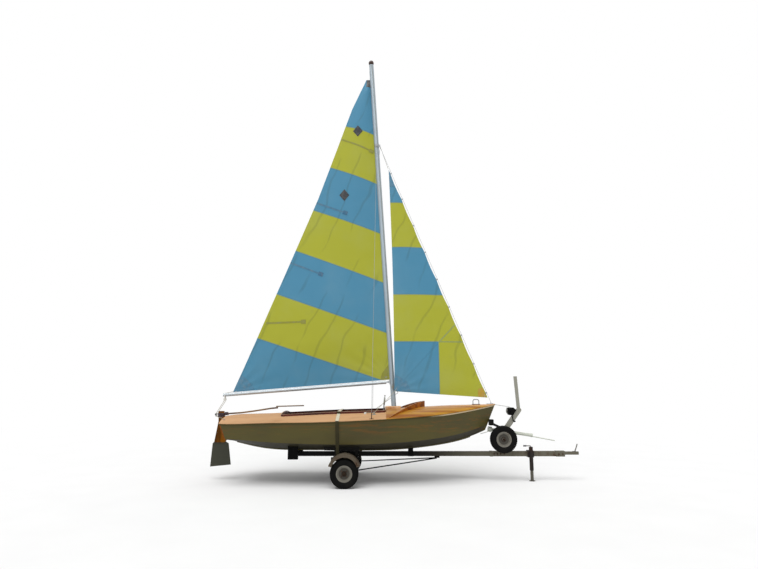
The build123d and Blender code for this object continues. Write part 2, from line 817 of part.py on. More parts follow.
def make_battens():
    """Battens in pockets on the sail's port side."""
    pieces = []
    for leech_x, leech_z, luff_x, luff_z in BATTENS:
        bar = flat_bar((leech_x, leech_z), (luff_x, luff_z), BATTEN_WIDE, BATTEN_THICK)
        pieces.append(Pos(0, (SAIL_THICK + BATTEN_THICK) / 2, 0) * bar)
    return Part() + pieces


def jib_corners():
    """Tack, head and clew of the jib."""
    tack, head = Vector(JIB_TACK[0], 0, JIB_TACK[1]), Vector(JIB_HEAD[0], 0, JIB_HEAD[1])
    return tack, head, Vector(JIB_CLEW[0], JIB_CLEW_Y, JIB_CLEW[1])


def make_jib():
    """Jib as a thin flat panel, its clew drawn a little to starboard of the mast."""
    tack, head, clew = jib_corners()
    normal = (tack - head).cross(clew - head).normalized()
    face = make_face(Polyline(head, tack, clew, close=True))
    return extrude(face, amount=SAIL_THICK / 2, dir=normal, both=True)


def make_hanks():
    """U-shaped clips that hold the jib's luff to the forestay."""
    tack, head, clew = jib_corners()
    foot, top = forestay_ends()
    along = (top - foot).normalized()
    half = STAY_RADIUS + HANK_GAP
    front = half + HANK_WALL
    clips = []
    for number in range(HANK_COUNT):
        luff = tack + (head - tack) * ((number + 0.15) / (HANK_COUNT - 0.7))
        near = foot + along * (luff - foot).dot(along)
        back = (luff - near).length + HANK_GRIP
        clip = block((-front, -front, -HANK_LONG / 2), (back, front, HANK_LONG / 2))
        clip -= block((-half, -half, -HANK_LONG), (back + 1, half, HANK_LONG))
        clips.append(Plane(origin=near, x_dir=luff - near, z_dir=along) * clip)
    return Part() + clips


def make_keel_strip():
    """Hardwood strip along the keel, open under the trunk."""
    aft, fore = STATIONS[0][0] + BULKHEAD_OUT, STATIONS[-2][0]
    column = block((aft, -KEEL_STRIP_HALF, UNDER), (fore, KEEL_STRIP_HALF, BEYOND))
    strip = (column & Pos(0, 0, -KEEL_STRIP_THICK) * outer_hull) - Pos(0, 0, -GLUE_LINE) * outer_hull
    return strip - trunk_slot(2 * UNDER)


def rudder_axis():
    """Point and upward direction of the line that the rudder turns on, and the way aft."""
    keel_x, lean, keel_z = STATIONS[0][:3]
    up = Vector(lean, 0, 1).normalized()
    aft = Vector(-up.Z, 0, up.X)
    return Vector(keel_x, 0, keel_z) + aft * RUDDER_GAP, up, aft


def make_gudgeons():
    """Two eyes on the transom that hold the pintles."""
    origin, up, aft = rudder_axis()
    pieces = Part()
    for along in GUDGEON_UP:
        place = Plane(origin=origin + up * along, x_dir=aft, z_dir=up)
        eye = place * Cylinder(GUDGEON_RADIUS, GUDGEON_HIGH)
        thick, side = GUDGEON_PLATE
        face = GLUE_LINE - RUDDER_GAP
        half, high = GUDGEON_ARM / 2, GUDGEON_HIGH / 2
        arm = place * block((face + thick, -half, -high), (0, half, high))
        plate = place * block((face, -side / 2, -side / 2), (face + thick, side / 2, side / 2))
        pieces += eye + arm + plate - place * Cylinder(PIN_RADIUS + PIN_GAP, side)
    return pieces


def make_pintles():
    """Pins and straps on the rudder's leading edge."""
    origin, up, aft = rudder_axis()
    reach = BLADE_THICK / 2 + BLADE_CLEAR + CHEEK_THICK + STEEL_GAP + PINTLE_STRAP
    pieces = Part()
    for along in GUDGEON_UP:
        above = along + GUDGEON_HIGH / 2 + PINTLE_PLAY
        place = Plane(origin=origin + up * above, x_dir=aft, z_dir=up)
        pin = rod((0, 0, PINTLE_PIN[0]), (0, 0, PINTLE_PIN[1]), PIN_RADIUS)
        head = block((PINTLE_HEAD[0], -reach, 0), (PINTLE_HEAD[1], reach, PINTLE_HIGH))
        start, end = PINTLE_REACH
        strap = block((start, reach - PINTLE_STRAP, 0), (end, reach, PINTLE_HIGH))
        pieces += place * (pin + head + both_sides(strap))
    return pieces


def make_rudder_head():
    """Two wooden cheeks with a filler between them at the top, and the blade's bolt."""
    half = BLADE_THICK / 2 + BLADE_CLEAR
    cheek = side_plate(HEAD_OUTLINE, half, half + CHEEK_THICK)
    pivot_x = BLADE_PIVOT[0]
    column = block((pivot_x - BEYOND, -half, HEAD_FILLER_LOW), (pivot_x + BEYOND, half, 2 * BEYOND))
    filler = side_plate(HEAD_OUTLINE, -half, half) & column
    head = both_sides(cheek) + filler - tiller_bar(STEEL_GAP)
    return head + across(*BLADE_PIVOT, BLADE_BOLT, 2 * (half + CHEEK_THICK + BOLT_PAST))


def make_rudder_blade():
    """Metal blade that lifts aft about its bolt."""
    plate = side_plate(BLADE_OUTLINE, -BLADE_THICK / 2, BLADE_THICK / 2)
    return plate - across(*BLADE_PIVOT, BLADE_BOLT + PIN_GAP, 4 * BLADE_THICK)


def tiller_bar(grow):
    """Wooden tiller with a double bend, grown a little where it cuts its own mortise."""
    half = TILLER_WIDE / 2 + grow
    upper = [(x, z + half) for x, z in TILLER_ROUTE]
    lower = [(x, z - half) for x, z in reversed(TILLER_ROUTE)]
    return side_plate(upper + lower, -half, half)


def make_extension():
    """Thin hand bar joined to the tiller's fore end."""
    x, z = TILLER_ROUTE[-1]
    lift = TILLER_WIDE / 2 + EXTENSION_RADIUS
    return rod((x - EXTENSION_LAP, 0, z + lift), (EXTENSION_END[0], 0, EXTENSION_END[1]), EXTENSION_RADIUS)


def tube_x(aft, fore, side, wall):
    """Square tube along x, centred on the spine's middle height."""
    section = Rectangle(side, side) - Rectangle(side - 2 * wall, side - 2 * wall)
    plane = Plane(origin=(aft, 0, SPINE_MIDDLE), x_dir=(0, 1, 0), z_dir=(1, 0, 0))
    return plane * extrude(section, fore - aft)


def make_spine():
    """Rear length of the trailer's spine."""
    return tube_x(SPINE_AFT, SPLICE_X, TUBE_AFT_SIDE, SPINE_WALL)


def make_tongue():
    """Front length of the spine, with the collar that takes the rear length."""
    wall = (SPINE_SIDE - TUBE_AFT_SIDE) / 2 + COLLAR_WALL - STEEL_GAP
    collar = tube_x(SPLICE_X - SPLICE_LONG, SPLICE_X + 1, TUBE_AFT_SIDE + 2 * (wall + STEEL_GAP), wall)
    return tube_x(SPLICE_X, TONGUE_END, SPINE_SIDE, SPINE_WALL) + collar


def make_coupler():
    """Pressed coupler with a round socket for the ball."""
    half = SPINE_SIDE / 2
    bore, out = half + STEEL_GAP, half + COUPLER_SKIN
    aft, fore = TONGUE_END - COUPLER_SLEEVE, TONGUE_END + COUPLER_LAP
    sleeve = block((aft, -out, SPINE_MIDDLE - out), (fore, out, SPINE_MIDDLE + out))
    inside = (TONGUE_END + STEEL_GAP, bore, SPINE_MIDDLE + bore)
    sleeve -= block((aft - 1, -bore, SPINE_MIDDLE - bore), inside)
    nose_radius = BALL_RADIUS + COUPLER_WALL
    nose_x = COUPLER_TIP - nose_radius
    low, high = SPINE_MIDDLE - NOSE_LOW, SPINE_MIDDLE + NOSE_HIGH
    waist, lap = nose_radius - WAIST_IN, fore - COUPLER_LAP / 2
    outline = [(lap, -half), (lap, half), (nose_x, waist), (nose_x, -waist)]
    nose = Pos(nose_x, 0, (low + high) / 2) * Cylinder(nose_radius, high - low)
    roof = high - NOSE_ROOF
    socket = Pos(nose_x, 0, low - 1) * extrude(Circle(BALL_RADIUS + BALL_CLEAR), roof - low + 1)
    return sleeve + plan_plate(outline, low, high) + nose - socket


def make_latch():
    """Lever that locks the coupler on its ball."""
    foot = Vector(*LATCH_ROUTE[0])
    low, half = SPINE_MIDDLE + NOSE_HIGH + STEEL_GAP, LATCH_WIDE / 2
    base = block((foot.X + LATCH_BASE[0], -half, low), (foot.X + LATCH_BASE[1], half, foot.Y))
    lever = flat_bar(LATCH_ROUTE[0], LATCH_ROUTE[1], LATCH_THICK, LATCH_WIDE)
    return base + lever + flat_bar(LATCH_ROUTE[1], LATCH_ROUTE[2], LATCH_THICK, LATCH_WIDE)


def make_axle():
    """Square axle beam with a round stub at each end."""
    end, half = WHEEL_Y - TYRE_WIDE / 2 - AXLE_IN, AXLE_SIDE / 2
    beam = block((AXLE_X - half, -end, WHEEL_Z - half), (AXLE_X + half, end, WHEEL_Z + half))
    stub = rod((AXLE_X, end, WHEEL_Z), (AXLE_X, WHEEL_Y + STUB_OUT, WHEEL_Z), STUB_RADIUS)
    return beam + both_sides(stub)


def make_wheel_rim(with_hub=True):
    """Pressed steel wheel with or without its hub; its axis is y."""
    half = TYRE_WIDE / 2 - BEAD_IN
    seat = half - RIM_WALL + STEEL_GAP
    drop, centre = RIM_RADIUS - RIM_WALL, STUB_RADIUS + STUB_GAP
    disc_in, disc_out = DISC_FACES
    near_half = [(RIM_RADIUS, seat), (RIM_LIP, half), (drop, half)]
    barrel = near_half + [(radius, -y) for radius, y in reversed(near_half)]
    disc = [(centre, disc_in), (drop + 1, disc_in), (drop + 1, disc_out), (centre, disc_out)]
    hub = [(centre, -HUB_HALF), (HUB_RADIUS, -HUB_HALF), (HUB_RADIUS, HUB_HALF), (centre, HUB_HALF)]
    outlines = [barrel, disc] + ([hub] if with_hub else [])
    return Part() + [turned(outline, Axis.Y) for outline in outlines]


def make_tyre():
    """Plain tyre, wider at its tread than at its beads; its axis is y."""
    bead = TYRE_WIDE / 2 - BEAD_IN - RIM_WALL
    side = [(RIM_RADIUS, bead), (TYRE_RADIUS, TREAD_HALF)]
    return turned(side + [(radius, -y) for radius, y in reversed(side)], Axis.Y)


def fender_band(deep, y_low, y_high):
    """Curved band under the fender's outer face, between two values of y."""
    turns = [radians(turn) for turn in (FENDER_ENDS[0], 90, FENDER_ENDS[1])]
    low, high = FENDER_RADIUS - deep, FENDER_RADIUS
    outer = [(AXLE_X + high * cos(turn), y_low, FENDER_Z + high * sin(turn)) for turn in turns]
    inner = [(AXLE_X + low * cos(turn), y_low, FENDER_Z + low * sin(turn)) for turn in turns]
    outline = ThreePointArc(*outer) + Line(outer[2], inner[2])
    outline += ThreePointArc(*reversed(inner)) + Line(inner[0], outer[0])
    return extrude(make_face(outline), amount=y_high - y_low, dir=(0, 1, 0))


def make_fender():
    """Round steel guard over the port wheel, with a lip down its outer side and an angle stay."""
    inner, outer = WHEEL_Y - FENDER_WIDE / 2, WHEEL_Y + FENDER_WIDE / 2
    guard = fender_band(FENDER_WALL, inner, outer) + fender_band(FENDER_LIP, outer - FENDER_WALL, outer)
    rail_face = SPRING_Y + RAIL_SIDE / 2 + STEEL_GAP
    half, top = FENDER_STAY / 2, FENDER_Z + FENDER_RADIUS - STAY_SINK
    aft, fore, low = AXLE_X - half, AXLE_X + half, RAIL_Z - RAIL_SIDE / 2
    stay = block((aft, rail_face, low), (fore, rail_face + STAY_THICK, top))
    return guard + stay + block((aft, rail_face, top - STAY_THICK), (fore, inner + half, top))


def leaf_face(reach, rise, z):
    """Outline of one spring leaf, curved up at its ends."""
    lower = [(AXLE_X - reach, 0, z + rise), (AXLE_X, 0, z), (AXLE_X + reach, 0, z + rise)]
    upper = [(x, y, height + SPRING_LEAF) for x, y, height in lower]
    outline = ThreePointArc(*lower) + Line(lower[2], upper[2])
    return make_face(outline + ThreePointArc(*reversed(upper)) + Line(upper[0], lower[0]))


def make_spring():
    """Leaf spring on the axle, with its hangers, for y above zero."""
    low = WHEEL_Z + AXLE_SIDE / 2 + STEEL_GAP
    half = SPRING_LONG / 2
    leaf_count = len(LEAF_SHARES)
    spring = Part()
    for number, share in enumerate(LEAF_SHARES):
        z = low + (leaf_count - 1 - number) * SPRING_LEAF
        face = leaf_face(half * share, SPRING_RISE * share ** 2, z)
        spring += extrude(face, amount=SPRING_WIDE / 2, dir=(0, 1, 0), both=True)
    wide = SPRING_WIDE / 2 + HANGER_OUT
    high = RAIL_Z - RAIL_SIDE / 2 - STEEL_GAP
    for end in (AXLE_X - half, AXLE_X + half - HANGER_LONG):
        spring += block((end, -wide, low + SPRING_RISE), (end + HANGER_LONG, wide, high))
    return Pos(0, SPRING_Y, 0) * spring


def make_frame():
    """Side rails over the springs, and the cross tubes that join them under the spine."""
    low, high = RAIL_Z - RAIL_SIDE / 2, RAIL_Z + RAIL_SIDE / 2
    reach, inner = SPRING_LONG / 2 + RAIL_OVER, SPRING_Y - RAIL_SIDE / 2
    frame = both_sides(block((AXLE_X - reach, inner, low), (AXLE_X + reach, inner + RAIL_SIDE, high)))
    spine_half = TUBE_AFT_SIDE / 2 + STEEL_GAP
    under = TUBE_AFT_TOP - TUBE_AFT_SIDE - STEEL_GAP
    for x in CROSS_X:
        aft, fore = x - CROSS_WIDE / 2, x + CROSS_WIDE / 2
        side = spine_half + CLAMP_OUT
        frame += both_sides(block((aft, spine_half, low), (fore, inner, high)))
        frame += both_sides(block((aft, spine_half, low - CLAMP_DEEP), (fore, side, low)))
        frame += block((aft, -side, low - CLAMP_DEEP), (fore, side, min(under, low)))
    return frame


def make_braces():
    """Round bars from the axle's ends forward to the spine."""
    x, z = BRACE_JOIN
    half = AXLE_SIDE / 2 + STEEL_GAP
    join = (x, BRACE_LUG_HALF - BRACE_IN, z - BRACE_RADIUS)
    bar = rod((AXLE_X, BRACE_START_Y, WHEEL_Z), join, BRACE_RADIUS)
    bar -= block((AXLE_X - BEYOND, 0, 0), (AXLE_X + half, BEYOND, BEYOND))
    under = TUBE_AFT_TOP - TUBE_AFT_SIDE - STEEL_GAP
    low, high = (BRACE_LUG[0], -BRACE_LUG_HALF, z - BRACE_LUG_LOW), (BRACE_LUG[1], BRACE_LUG_HALF, under)
    return both_sides(bar) + block(low, high)


def make_bunks():
    """Padded boards under the hull bottom, on posts from the cross tubes."""
    low = (BUNK_AFT, BUNK_Y - BUNK_WIDE / 2, UNDER)
    column = block(low, (BUNK_AFT + BUNK_LONG, BUNK_Y + BUNK_WIDE / 2, BEYOND))
    under_pad = Pos(0, 0, -BUNK_THICK - REST_GAP) * outer_hull
    bunk = (column & under_pad) - Pos(0, 0, -REST_GAP) * outer_hull
    rail_top, half = RAIL_Z + RAIL_SIDE / 2 + STEEL_GAP, BUNK_POST / 2
    for x in CROSS_X:
        bunk += block((x - half, BUNK_Y - half, rail_top), (x + half, BUNK_Y + half, FLOOR_Z)) - under_pad
    return both_sides(bunk)


def make_keel_prop():
    """Bracket from the spine up to the keel."""
    half = TUBE_AFT_SIDE / 2 + STEEL_GAP
    aft, fore, out = PROP_X - PROP_LONG / 2, PROP_X + PROP_LONG / 2, half + PROP_PLATE
    plates = both_sides(block((aft, half, SPINE_TOP - SPINE_SIDE), (fore, out, PROP_CAP_Z + 1)))
    cap = block((aft, -out, PROP_CAP_Z), (fore, out, FLOOR_Z))
    return plates + (cap - Pos(0, 0, -KEEL_STRIP_THICK - REST_GAP) * outer_hull)


def make_cradle():
    """Cross beam at the spine's tail, with two wide blocks that carry the hull's after part."""
    aft, fore = CRADLE_X - CRADLE_LONG / 2, CRADLE_X + CRADLE_LONG / 2
    out, half = CRADLE_Y + CRADLE_WIDE / 2, CRADLE_BEAM / 2
    cradle = block((CRADLE_X - half, -out, CRADLE_LOW), (CRADLE_X + half, out, CRADLE_LOW + CRADLE_BEAM))
    lowered = Pos(0, 0, -REST_GAP) * outer_hull
    column = block((aft, out - CRADLE_WIDE, CRADLE_LOW), (fore, out, BEYOND))
    cradle += both_sides((column - lowered) & block((aft, 0, 0), (fore, out, 2 * UNDER)))
    side = TUBE_AFT_SIDE / 2 + STEEL_GAP
    low, high = TUBE_AFT_TOP - TUBE_AFT_SIDE - STEEL_GAP, TUBE_AFT_TOP + STEEL_GAP
    return cradle - block((aft - 1, -side, low), (fore + 1, side, high))


def post_solid(grow=0.0):
    """The leaning post up to its head, grown a hair for cutting what butts against it."""
    foot, knee, head = POST_ROUTE
    wide, deep = POST_WIDE + grow, POST_DEEP + grow
    post = flat_bar(foot, knee, wide, deep) + flat_bar(knee, head, wide, deep)
    return post + across(*knee, wide / 2, deep)


def make_winch_post():
    """Leaning post on the tongue and the mast crutch above it, with the spare wheel's bracket."""
    head = POST_ROUTE[2]
    post = post_solid() + across(*head, POST_WIDE / 2, POST_DEEP)
    post += flat_bar(head, CRUTCH_TOP, CRUTCH_WIDE, CRUTCH_DEEP)
    foot = POST_ROUTE[0][0]
    post -= block((foot - BEYOND, -BEYOND, 0), (foot + BEYOND, BEYOND, SPINE_TOP + GLUE_LINE))
    x, y, z = SPARE
    face = y - DISC_FACES[0]
    low = (x - SPARE_PLATE / 2, face + STEEL_GAP, z - SPARE_PLATE)
    plate = block(low, (x + SPARE_PLATE, 1 - POST_DEEP / 2, z + SPARE_PLATE))
    stud = rod((x, face + 1, z), (x, face - STUD_PAST, z), SPARE_STUD)
    disc_back = y - DISC_FACES[1] - STEEL_GAP
    nut_radius, nut_high = SPARE_NUT
    return post + plate + stud + rod((x, disc_back, z), (x, disc_back - nut_high, z), nut_radius)


def make_winch():
    """Hand winch: drum between two side plates, with its crank."""
    x, z = WINCH
    drum = across(x, z, WINCH_DRUM, 2 * WINCH_HALF + WINCH_PLATE)
    outline = [(x + dx, z + dz) for dx, dz in WINCH_SIDE]
    winch = drum + both_sides(side_plate(outline, WINCH_HALF, WINCH_HALF + WINCH_PLATE))
    knee, head = Vector(*POST_ROUTE[1]), Vector(*POST_ROUTE[2])
    along = (head - knee).normalized()
    off = Vector(-along.Y, along.X) * (POST_WIDE / 2 + WINCH_PLATE + STEEL_GAP)
    base = [head + off - along * back for back in WINCH_BASE]
    ends = [(point.X, point.Y) for point in base]
    winch += flat_bar(*ends, 2 * WINCH_PLATE, 2 * (WINCH_HALF + WINCH_PLATE))
    end_x, end_z = x + CRANK_THROW[0], z + CRANK_THROW[1]
    arm_y = -2 * WINCH_HALF
    winch += rod((x, -WINCH_HALF, z), (x, arm_y - CRANK_RADIUS, z), CRANK_RADIUS)
    winch += rod((x, arm_y, z), (end_x, arm_y, end_z), CRANK_RADIUS)
    return winch + rod((end_x, arm_y, end_z), (end_x, arm_y - HANDLE_LONG, end_z), HANDLE_RADIUS)


def make_chock():
    """Rubber block with a V that the stem rests against, on its bracket."""
    x, z = CHOCK
    long, wide, high = CHOCK_HALF
    blank = block((x - long, -wide, z - high), (x + long + CHOCK_BACK, wide, z + high))
    knee_x, knee_z = POST_ROUTE[1]
    end = (knee_x + CHOCK_BAR_END[0], knee_z + CHOCK_BAR_END[1])
    bracket = flat_bar((x + long, z - CHOCK_BAR_DROP), end, *CHOCK_BAR)
    return blank - Pos(CHOCK_DENT, 0, 0) * arched_hull + (bracket - post_solid(2 * STEEL_GAP))


def make_bow_arm():
    """Arm beside the post, with a knob at each end, and the thin rod that goes on from it."""
    aft, fore = Vector(ARM_AFT[0], ARM_Y, ARM_AFT[1]), Vector(ARM_FORE[0], ARM_Y, ARM_FORE[1])
    along = (fore - aft).normalized()
    radius, long = ARM_KNOB
    arm = rod(aft, fore, ARM_RADIUS)
    arm += rod(aft - along * long / 2, aft + along * long / 2, radius)
    arm += rod(fore, fore + along * ARM_RADIUS, ARM_RADIUS + ARM_CAP)
    arm += rod(fore - Vector(0, 0, ROD_DROP), (ROD_FORE[0], ARM_Y, ROD_FORE[1]), ROD_RADIUS)
    x = POST_ROUTE[1][0] - ARM_STUB_BACK
    share = (x - ARM_AFT[0]) / (ARM_FORE[0] - ARM_AFT[0])
    z = ARM_AFT[1] + share * (ARM_FORE[1] - ARM_AFT[1])
    return arm + rod((x, POST_DEEP / 2 + STEEL_GAP, z), (x, ARM_Y, z), ARM_STUB)


def make_jack_sleeve():
    """Outer tube of the jack and its clamp on the tongue."""
    long = JACK_TOP - JACK_SLEEVE_END
    sleeve = Pos(JACK_X, JACK_Y, JACK_SLEEVE_END) * extrude(Circle(JACK_SLEEVE), long)
    half = SPINE_SIDE / 2 + STEEL_GAP
    out = half + JACK_CLAMP_WALL
    aft, fore = JACK_X - JACK_CLAMP_HALF, JACK_X + JACK_CLAMP_HALF
    clamp = block((aft, JACK_Y, SPINE_MIDDLE - out), (fore, out, SPINE_MIDDLE + out))
    clamp -= block((aft - 1, -half, SPINE_MIDDLE - half), (fore + 1, half, SPINE_MIDDLE + half))
    bore = extrude(Circle(JACK_LEG + JACK_GAP), long + 1 - JACK_LID)
    return sleeve + clamp - Pos(JACK_X, JACK_Y, JACK_SLEEVE_END - 1) * bore


def make_jack_leg():
    """Inner tube of the jack with its foot plate on the floor."""
    leg = Pos(JACK_X, JACK_Y, 0) * extrude(Circle(JACK_LEG), JACK_SLEEVE_END + JACK_OVERLAP)
    return leg + Pos(JACK_X, JACK_Y, 0) * extrude(Circle(JACK_FOOT), JACK_FOOT_THICK)


def band_outline(route, thick):
    """Closed outline of a band along a route of two coordinates, thick towards its outer side."""
    points = [Vector(*point) for point in route]
    normals = [(b - a).normalized().rotate(Axis.Z, -90) for a, b in zip(points, points[1:])]
    before, after = normals[:1] + normals, normals + normals[-1:]
    outer = [point + (a + b) * (thick / (1 + a.dot(b))) for point, a, b in zip(points, before, after)]
    return points + outer[::-1]


def strap_over_deck(edge, wall):
    """Points just above the deck, from its edge in to the coaming."""
    steps = [edge + (wall - edge) * number / STRAP_STEPS for number in range(STRAP_STEPS + 1)]
    return [(y, deck_top(STRAP_X, y) + STRAP_GAP) for y in steps]


def make_strap():
    """Webbing from the side rails up round the hull, over the deck and straight across the cockpit."""
    sheer_half, sheer_z = sheer_at(STRAP_X)
    rail = sheer_half + RUB_RAIL_OUT + STRAP_GAP
    start = SPRING_Y + RAIL_SIDE / 2 + STRAP_GAP
    wall = COCKPIT_HALF + STRAP_GAP
    over_deck = strap_over_deck(sheer_half - 1, wall)
    lip = deck_top(STRAP_X, COCKPIT_HALF - COAMING_THICK) + COAMING_ABOVE + STRAP_GAP
    route = [
        (start, RAIL_Z), (start, RAIL_Z + RAIL_SIDE / 2), STRAP_CHINE,
        (rail, sheer_z - RUB_RAIL_HIGH), (rail, over_deck[0][1]), *over_deck[1:], (wall, lip), (0, lip),
    ]
    aft = STRAP_X - STRAP_WIDE / 2
    outline = [Vector(aft, point.X, point.Y) for point in band_outline(route, STRAP_THICK)]
    half = extrude(make_face(Polyline(*outline, close=True)), amount=STRAP_WIDE, dir=(1, 0, 0))
    return both_sides(half)


whole_deck = make_deck()
parts = {
    "hull": make_hull(),
    "transom": make_transom(),
    "foredeck": whole_deck & slice_x(COCKPIT_FORE, STATIONS[-1][0] + BEYOND),
    "side_deck": whole_deck & slice_x(STATIONS[0][0] - BEYOND, COCKPIT_FORE - GLUE_LINE),
    "coaming": make_coaming(),
    "bulkheads": make_bulkheads(),
    "floorboards": make_floor(),
    "board_trunk": make_trunk(),
    "centreboard": make_centreboard(),
    "rub_rails": make_rub_rails(),
    "splash_boards": both_sides(make_splash_board()),
    "mast": make_mast(),
    "mast_step": make_mast_step(),
    "mast_ball": make_mast_ball(),
    "hounds": make_hounds(),
    "shrouds": make_shrouds(),
    "chainplates": make_chainplates(),
    "forestay": make_forestay(),
    "stem_fitting": make_stem_fitting(),
    "bow_hoop": make_bow_hoop(),
    "gooseneck": make_gooseneck(),
    "boom": make_boom(),
    "mainsheet_block": make_mainsheet_block(),
    "mainsail": make_mainsail(),
    "battens": make_battens(),
    "jib": make_jib(),
    "jib_hanks": make_hanks(),
    "keel_strip": make_keel_strip(),
    "gudgeons": make_gudgeons(),
    "pintles": make_pintles(),
    "rudder_head": make_rudder_head(),
    "rudder_blade": make_rudder_blade(),
    "tiller": tiller_bar(0),
    "tiller_extension": make_extension(),
    "spine": make_spine(),
    "tongue": make_tongue(),
    "coupler": make_coupler(),
    "coupler_latch": make_latch(),
    "axle": make_axle(),
    "springs": both_sides(make_spring()),
    "trailer_frame": make_frame(),
    "braces": make_braces(),
    "fender_port": make_fender(),
    "fender_starboard": mirror(make_fender(), Plane.XZ),
    "bunks": make_bunks(),
    "keel_prop": make_keel_prop(),
    "cradle": make_cradle(),
    "winch_post": make_winch_post(),
    "winch": make_winch(),
    "bow_chock": make_chock(),
    "bow_arm": make_bow_arm(),
    "jack_sleeve": make_jack_sleeve(),
    "jack_leg": make_jack_leg(),
    "tie_strap": make_strap(),
}
for side, turn, y in (("port", 0, WHEEL_Y), ("starboard", 180, -WHEEL_Y)):
    place = Pos(AXLE_X, y, WHEEL_Z) * Rot(0, 0, turn)
    parts["rim_" + side] = place * make_wheel_rim()
    parts["tyre_" + side] = place * make_tyre()
spare_place = Pos(*SPARE) * Rot(0, 0, 180)
parts["spare_rim"] = spare_place * make_wheel_rim(with_hub=False)
parts["spare_tyre"] = spare_place * make_tyre()

os.makedirs("parts", exist_ok=True)
for node, shape in parts.items():
    export_step(shape, f"parts/{node}.step")
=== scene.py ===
import logging
import math
from dataclasses import dataclass
from enum import Enum
from typing import Callable, Sequence

import bmesh
import bpy
from mathutils import Matrix, Vector, noise
from mathutils.bvhtree import BVHTree


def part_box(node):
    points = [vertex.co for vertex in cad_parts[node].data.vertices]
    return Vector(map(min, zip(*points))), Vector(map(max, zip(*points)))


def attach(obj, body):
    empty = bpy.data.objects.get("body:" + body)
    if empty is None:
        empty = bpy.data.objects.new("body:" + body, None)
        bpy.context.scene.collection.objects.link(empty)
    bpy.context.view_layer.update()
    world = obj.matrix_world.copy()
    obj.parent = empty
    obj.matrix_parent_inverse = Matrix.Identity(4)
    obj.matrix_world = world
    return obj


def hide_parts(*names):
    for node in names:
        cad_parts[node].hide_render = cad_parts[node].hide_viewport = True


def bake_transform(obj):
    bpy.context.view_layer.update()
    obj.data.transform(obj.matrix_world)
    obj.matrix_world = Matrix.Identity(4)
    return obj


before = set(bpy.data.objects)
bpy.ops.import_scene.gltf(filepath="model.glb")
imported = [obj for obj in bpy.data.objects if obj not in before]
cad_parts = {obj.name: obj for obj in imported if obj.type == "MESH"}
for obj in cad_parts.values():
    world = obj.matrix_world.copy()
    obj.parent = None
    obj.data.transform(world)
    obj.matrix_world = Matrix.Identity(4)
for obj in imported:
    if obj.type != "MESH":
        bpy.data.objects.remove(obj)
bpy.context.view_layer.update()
LOG = logging.getLogger("dinghy")

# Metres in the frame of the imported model: +X to the bow, +Y to port, +Z up
MAST_LEAN = math.radians(3.6)
MAST_FOOT = Vector((-0.010, 0.0, 1.134))
MAST_LENGTH = 5.955
MAST_FORE_AFT = 0.076
LUFF_BACK = 0.062
MAIN_TACK_UP = 0.420
MAIN_HEAD_UP = 5.665
HOUNDS_UP = 4.420
JIB_HEAD = Vector((-0.080, 0.0, 5.110))
JIB_TACK = Vector((1.496, 0.0, 1.268))
JIB_CLEW = Vector((0.0, -0.125, 1.366))
WHEEL = Vector((-0.748, 0.750, 0.2065))
SPARE = Vector((1.695, -0.135, 0.631))
TYRE_RADIUS = 0.2065
UP = Vector((0.0, 0.0, 1.0))
TO_PORT = Vector((0.0, 1.0, 0.0))
FULL_TURN = 2 * math.pi


class Axis(Enum):
    """Direction that a grain, a brush mark or a weave runs in."""

    X = 0
    Y = 1
    Z = 2


class Side(Enum):
    """Side of the boat, as the sign of y."""

    PORT = 1
    STARBOARD = -1

    @property
    def label(self) -> str:
        """Word for the side in a piece's name."""
        return self.name.lower()


def mast_point(up: float, back: float = 0.0) -> Vector:
    """Point by the leaning mast.

    Args:
        up: Distance up from the mast's foot.
        back: Distance aft of its centreline.

    Returns:
        The point in the frame.
    """
    aft = Vector((-math.cos(MAST_LEAN), 0.0, -math.sin(MAST_LEAN)))
    rise = Vector((-math.sin(MAST_LEAN), 0.0, math.cos(MAST_LEAN)))
    return MAST_FOOT + rise * up + aft * back


def colour(code: str) -> tuple[float, float, float, float]:
    """Linear colour.

    Args:
        code: Six hexadecimal digits of a display colour.

    Returns:
        Red, green, blue and an alpha of 1.
    """
    parts = [int(code[i:i + 2], 16) / 255 for i in (0, 2, 4)]
    red, green, blue = (p / 12.92 if p <= 0.04045 else ((p + 0.055) / 1.055) ** 2.4 for p in parts)
    return red, green, blue, 1.0


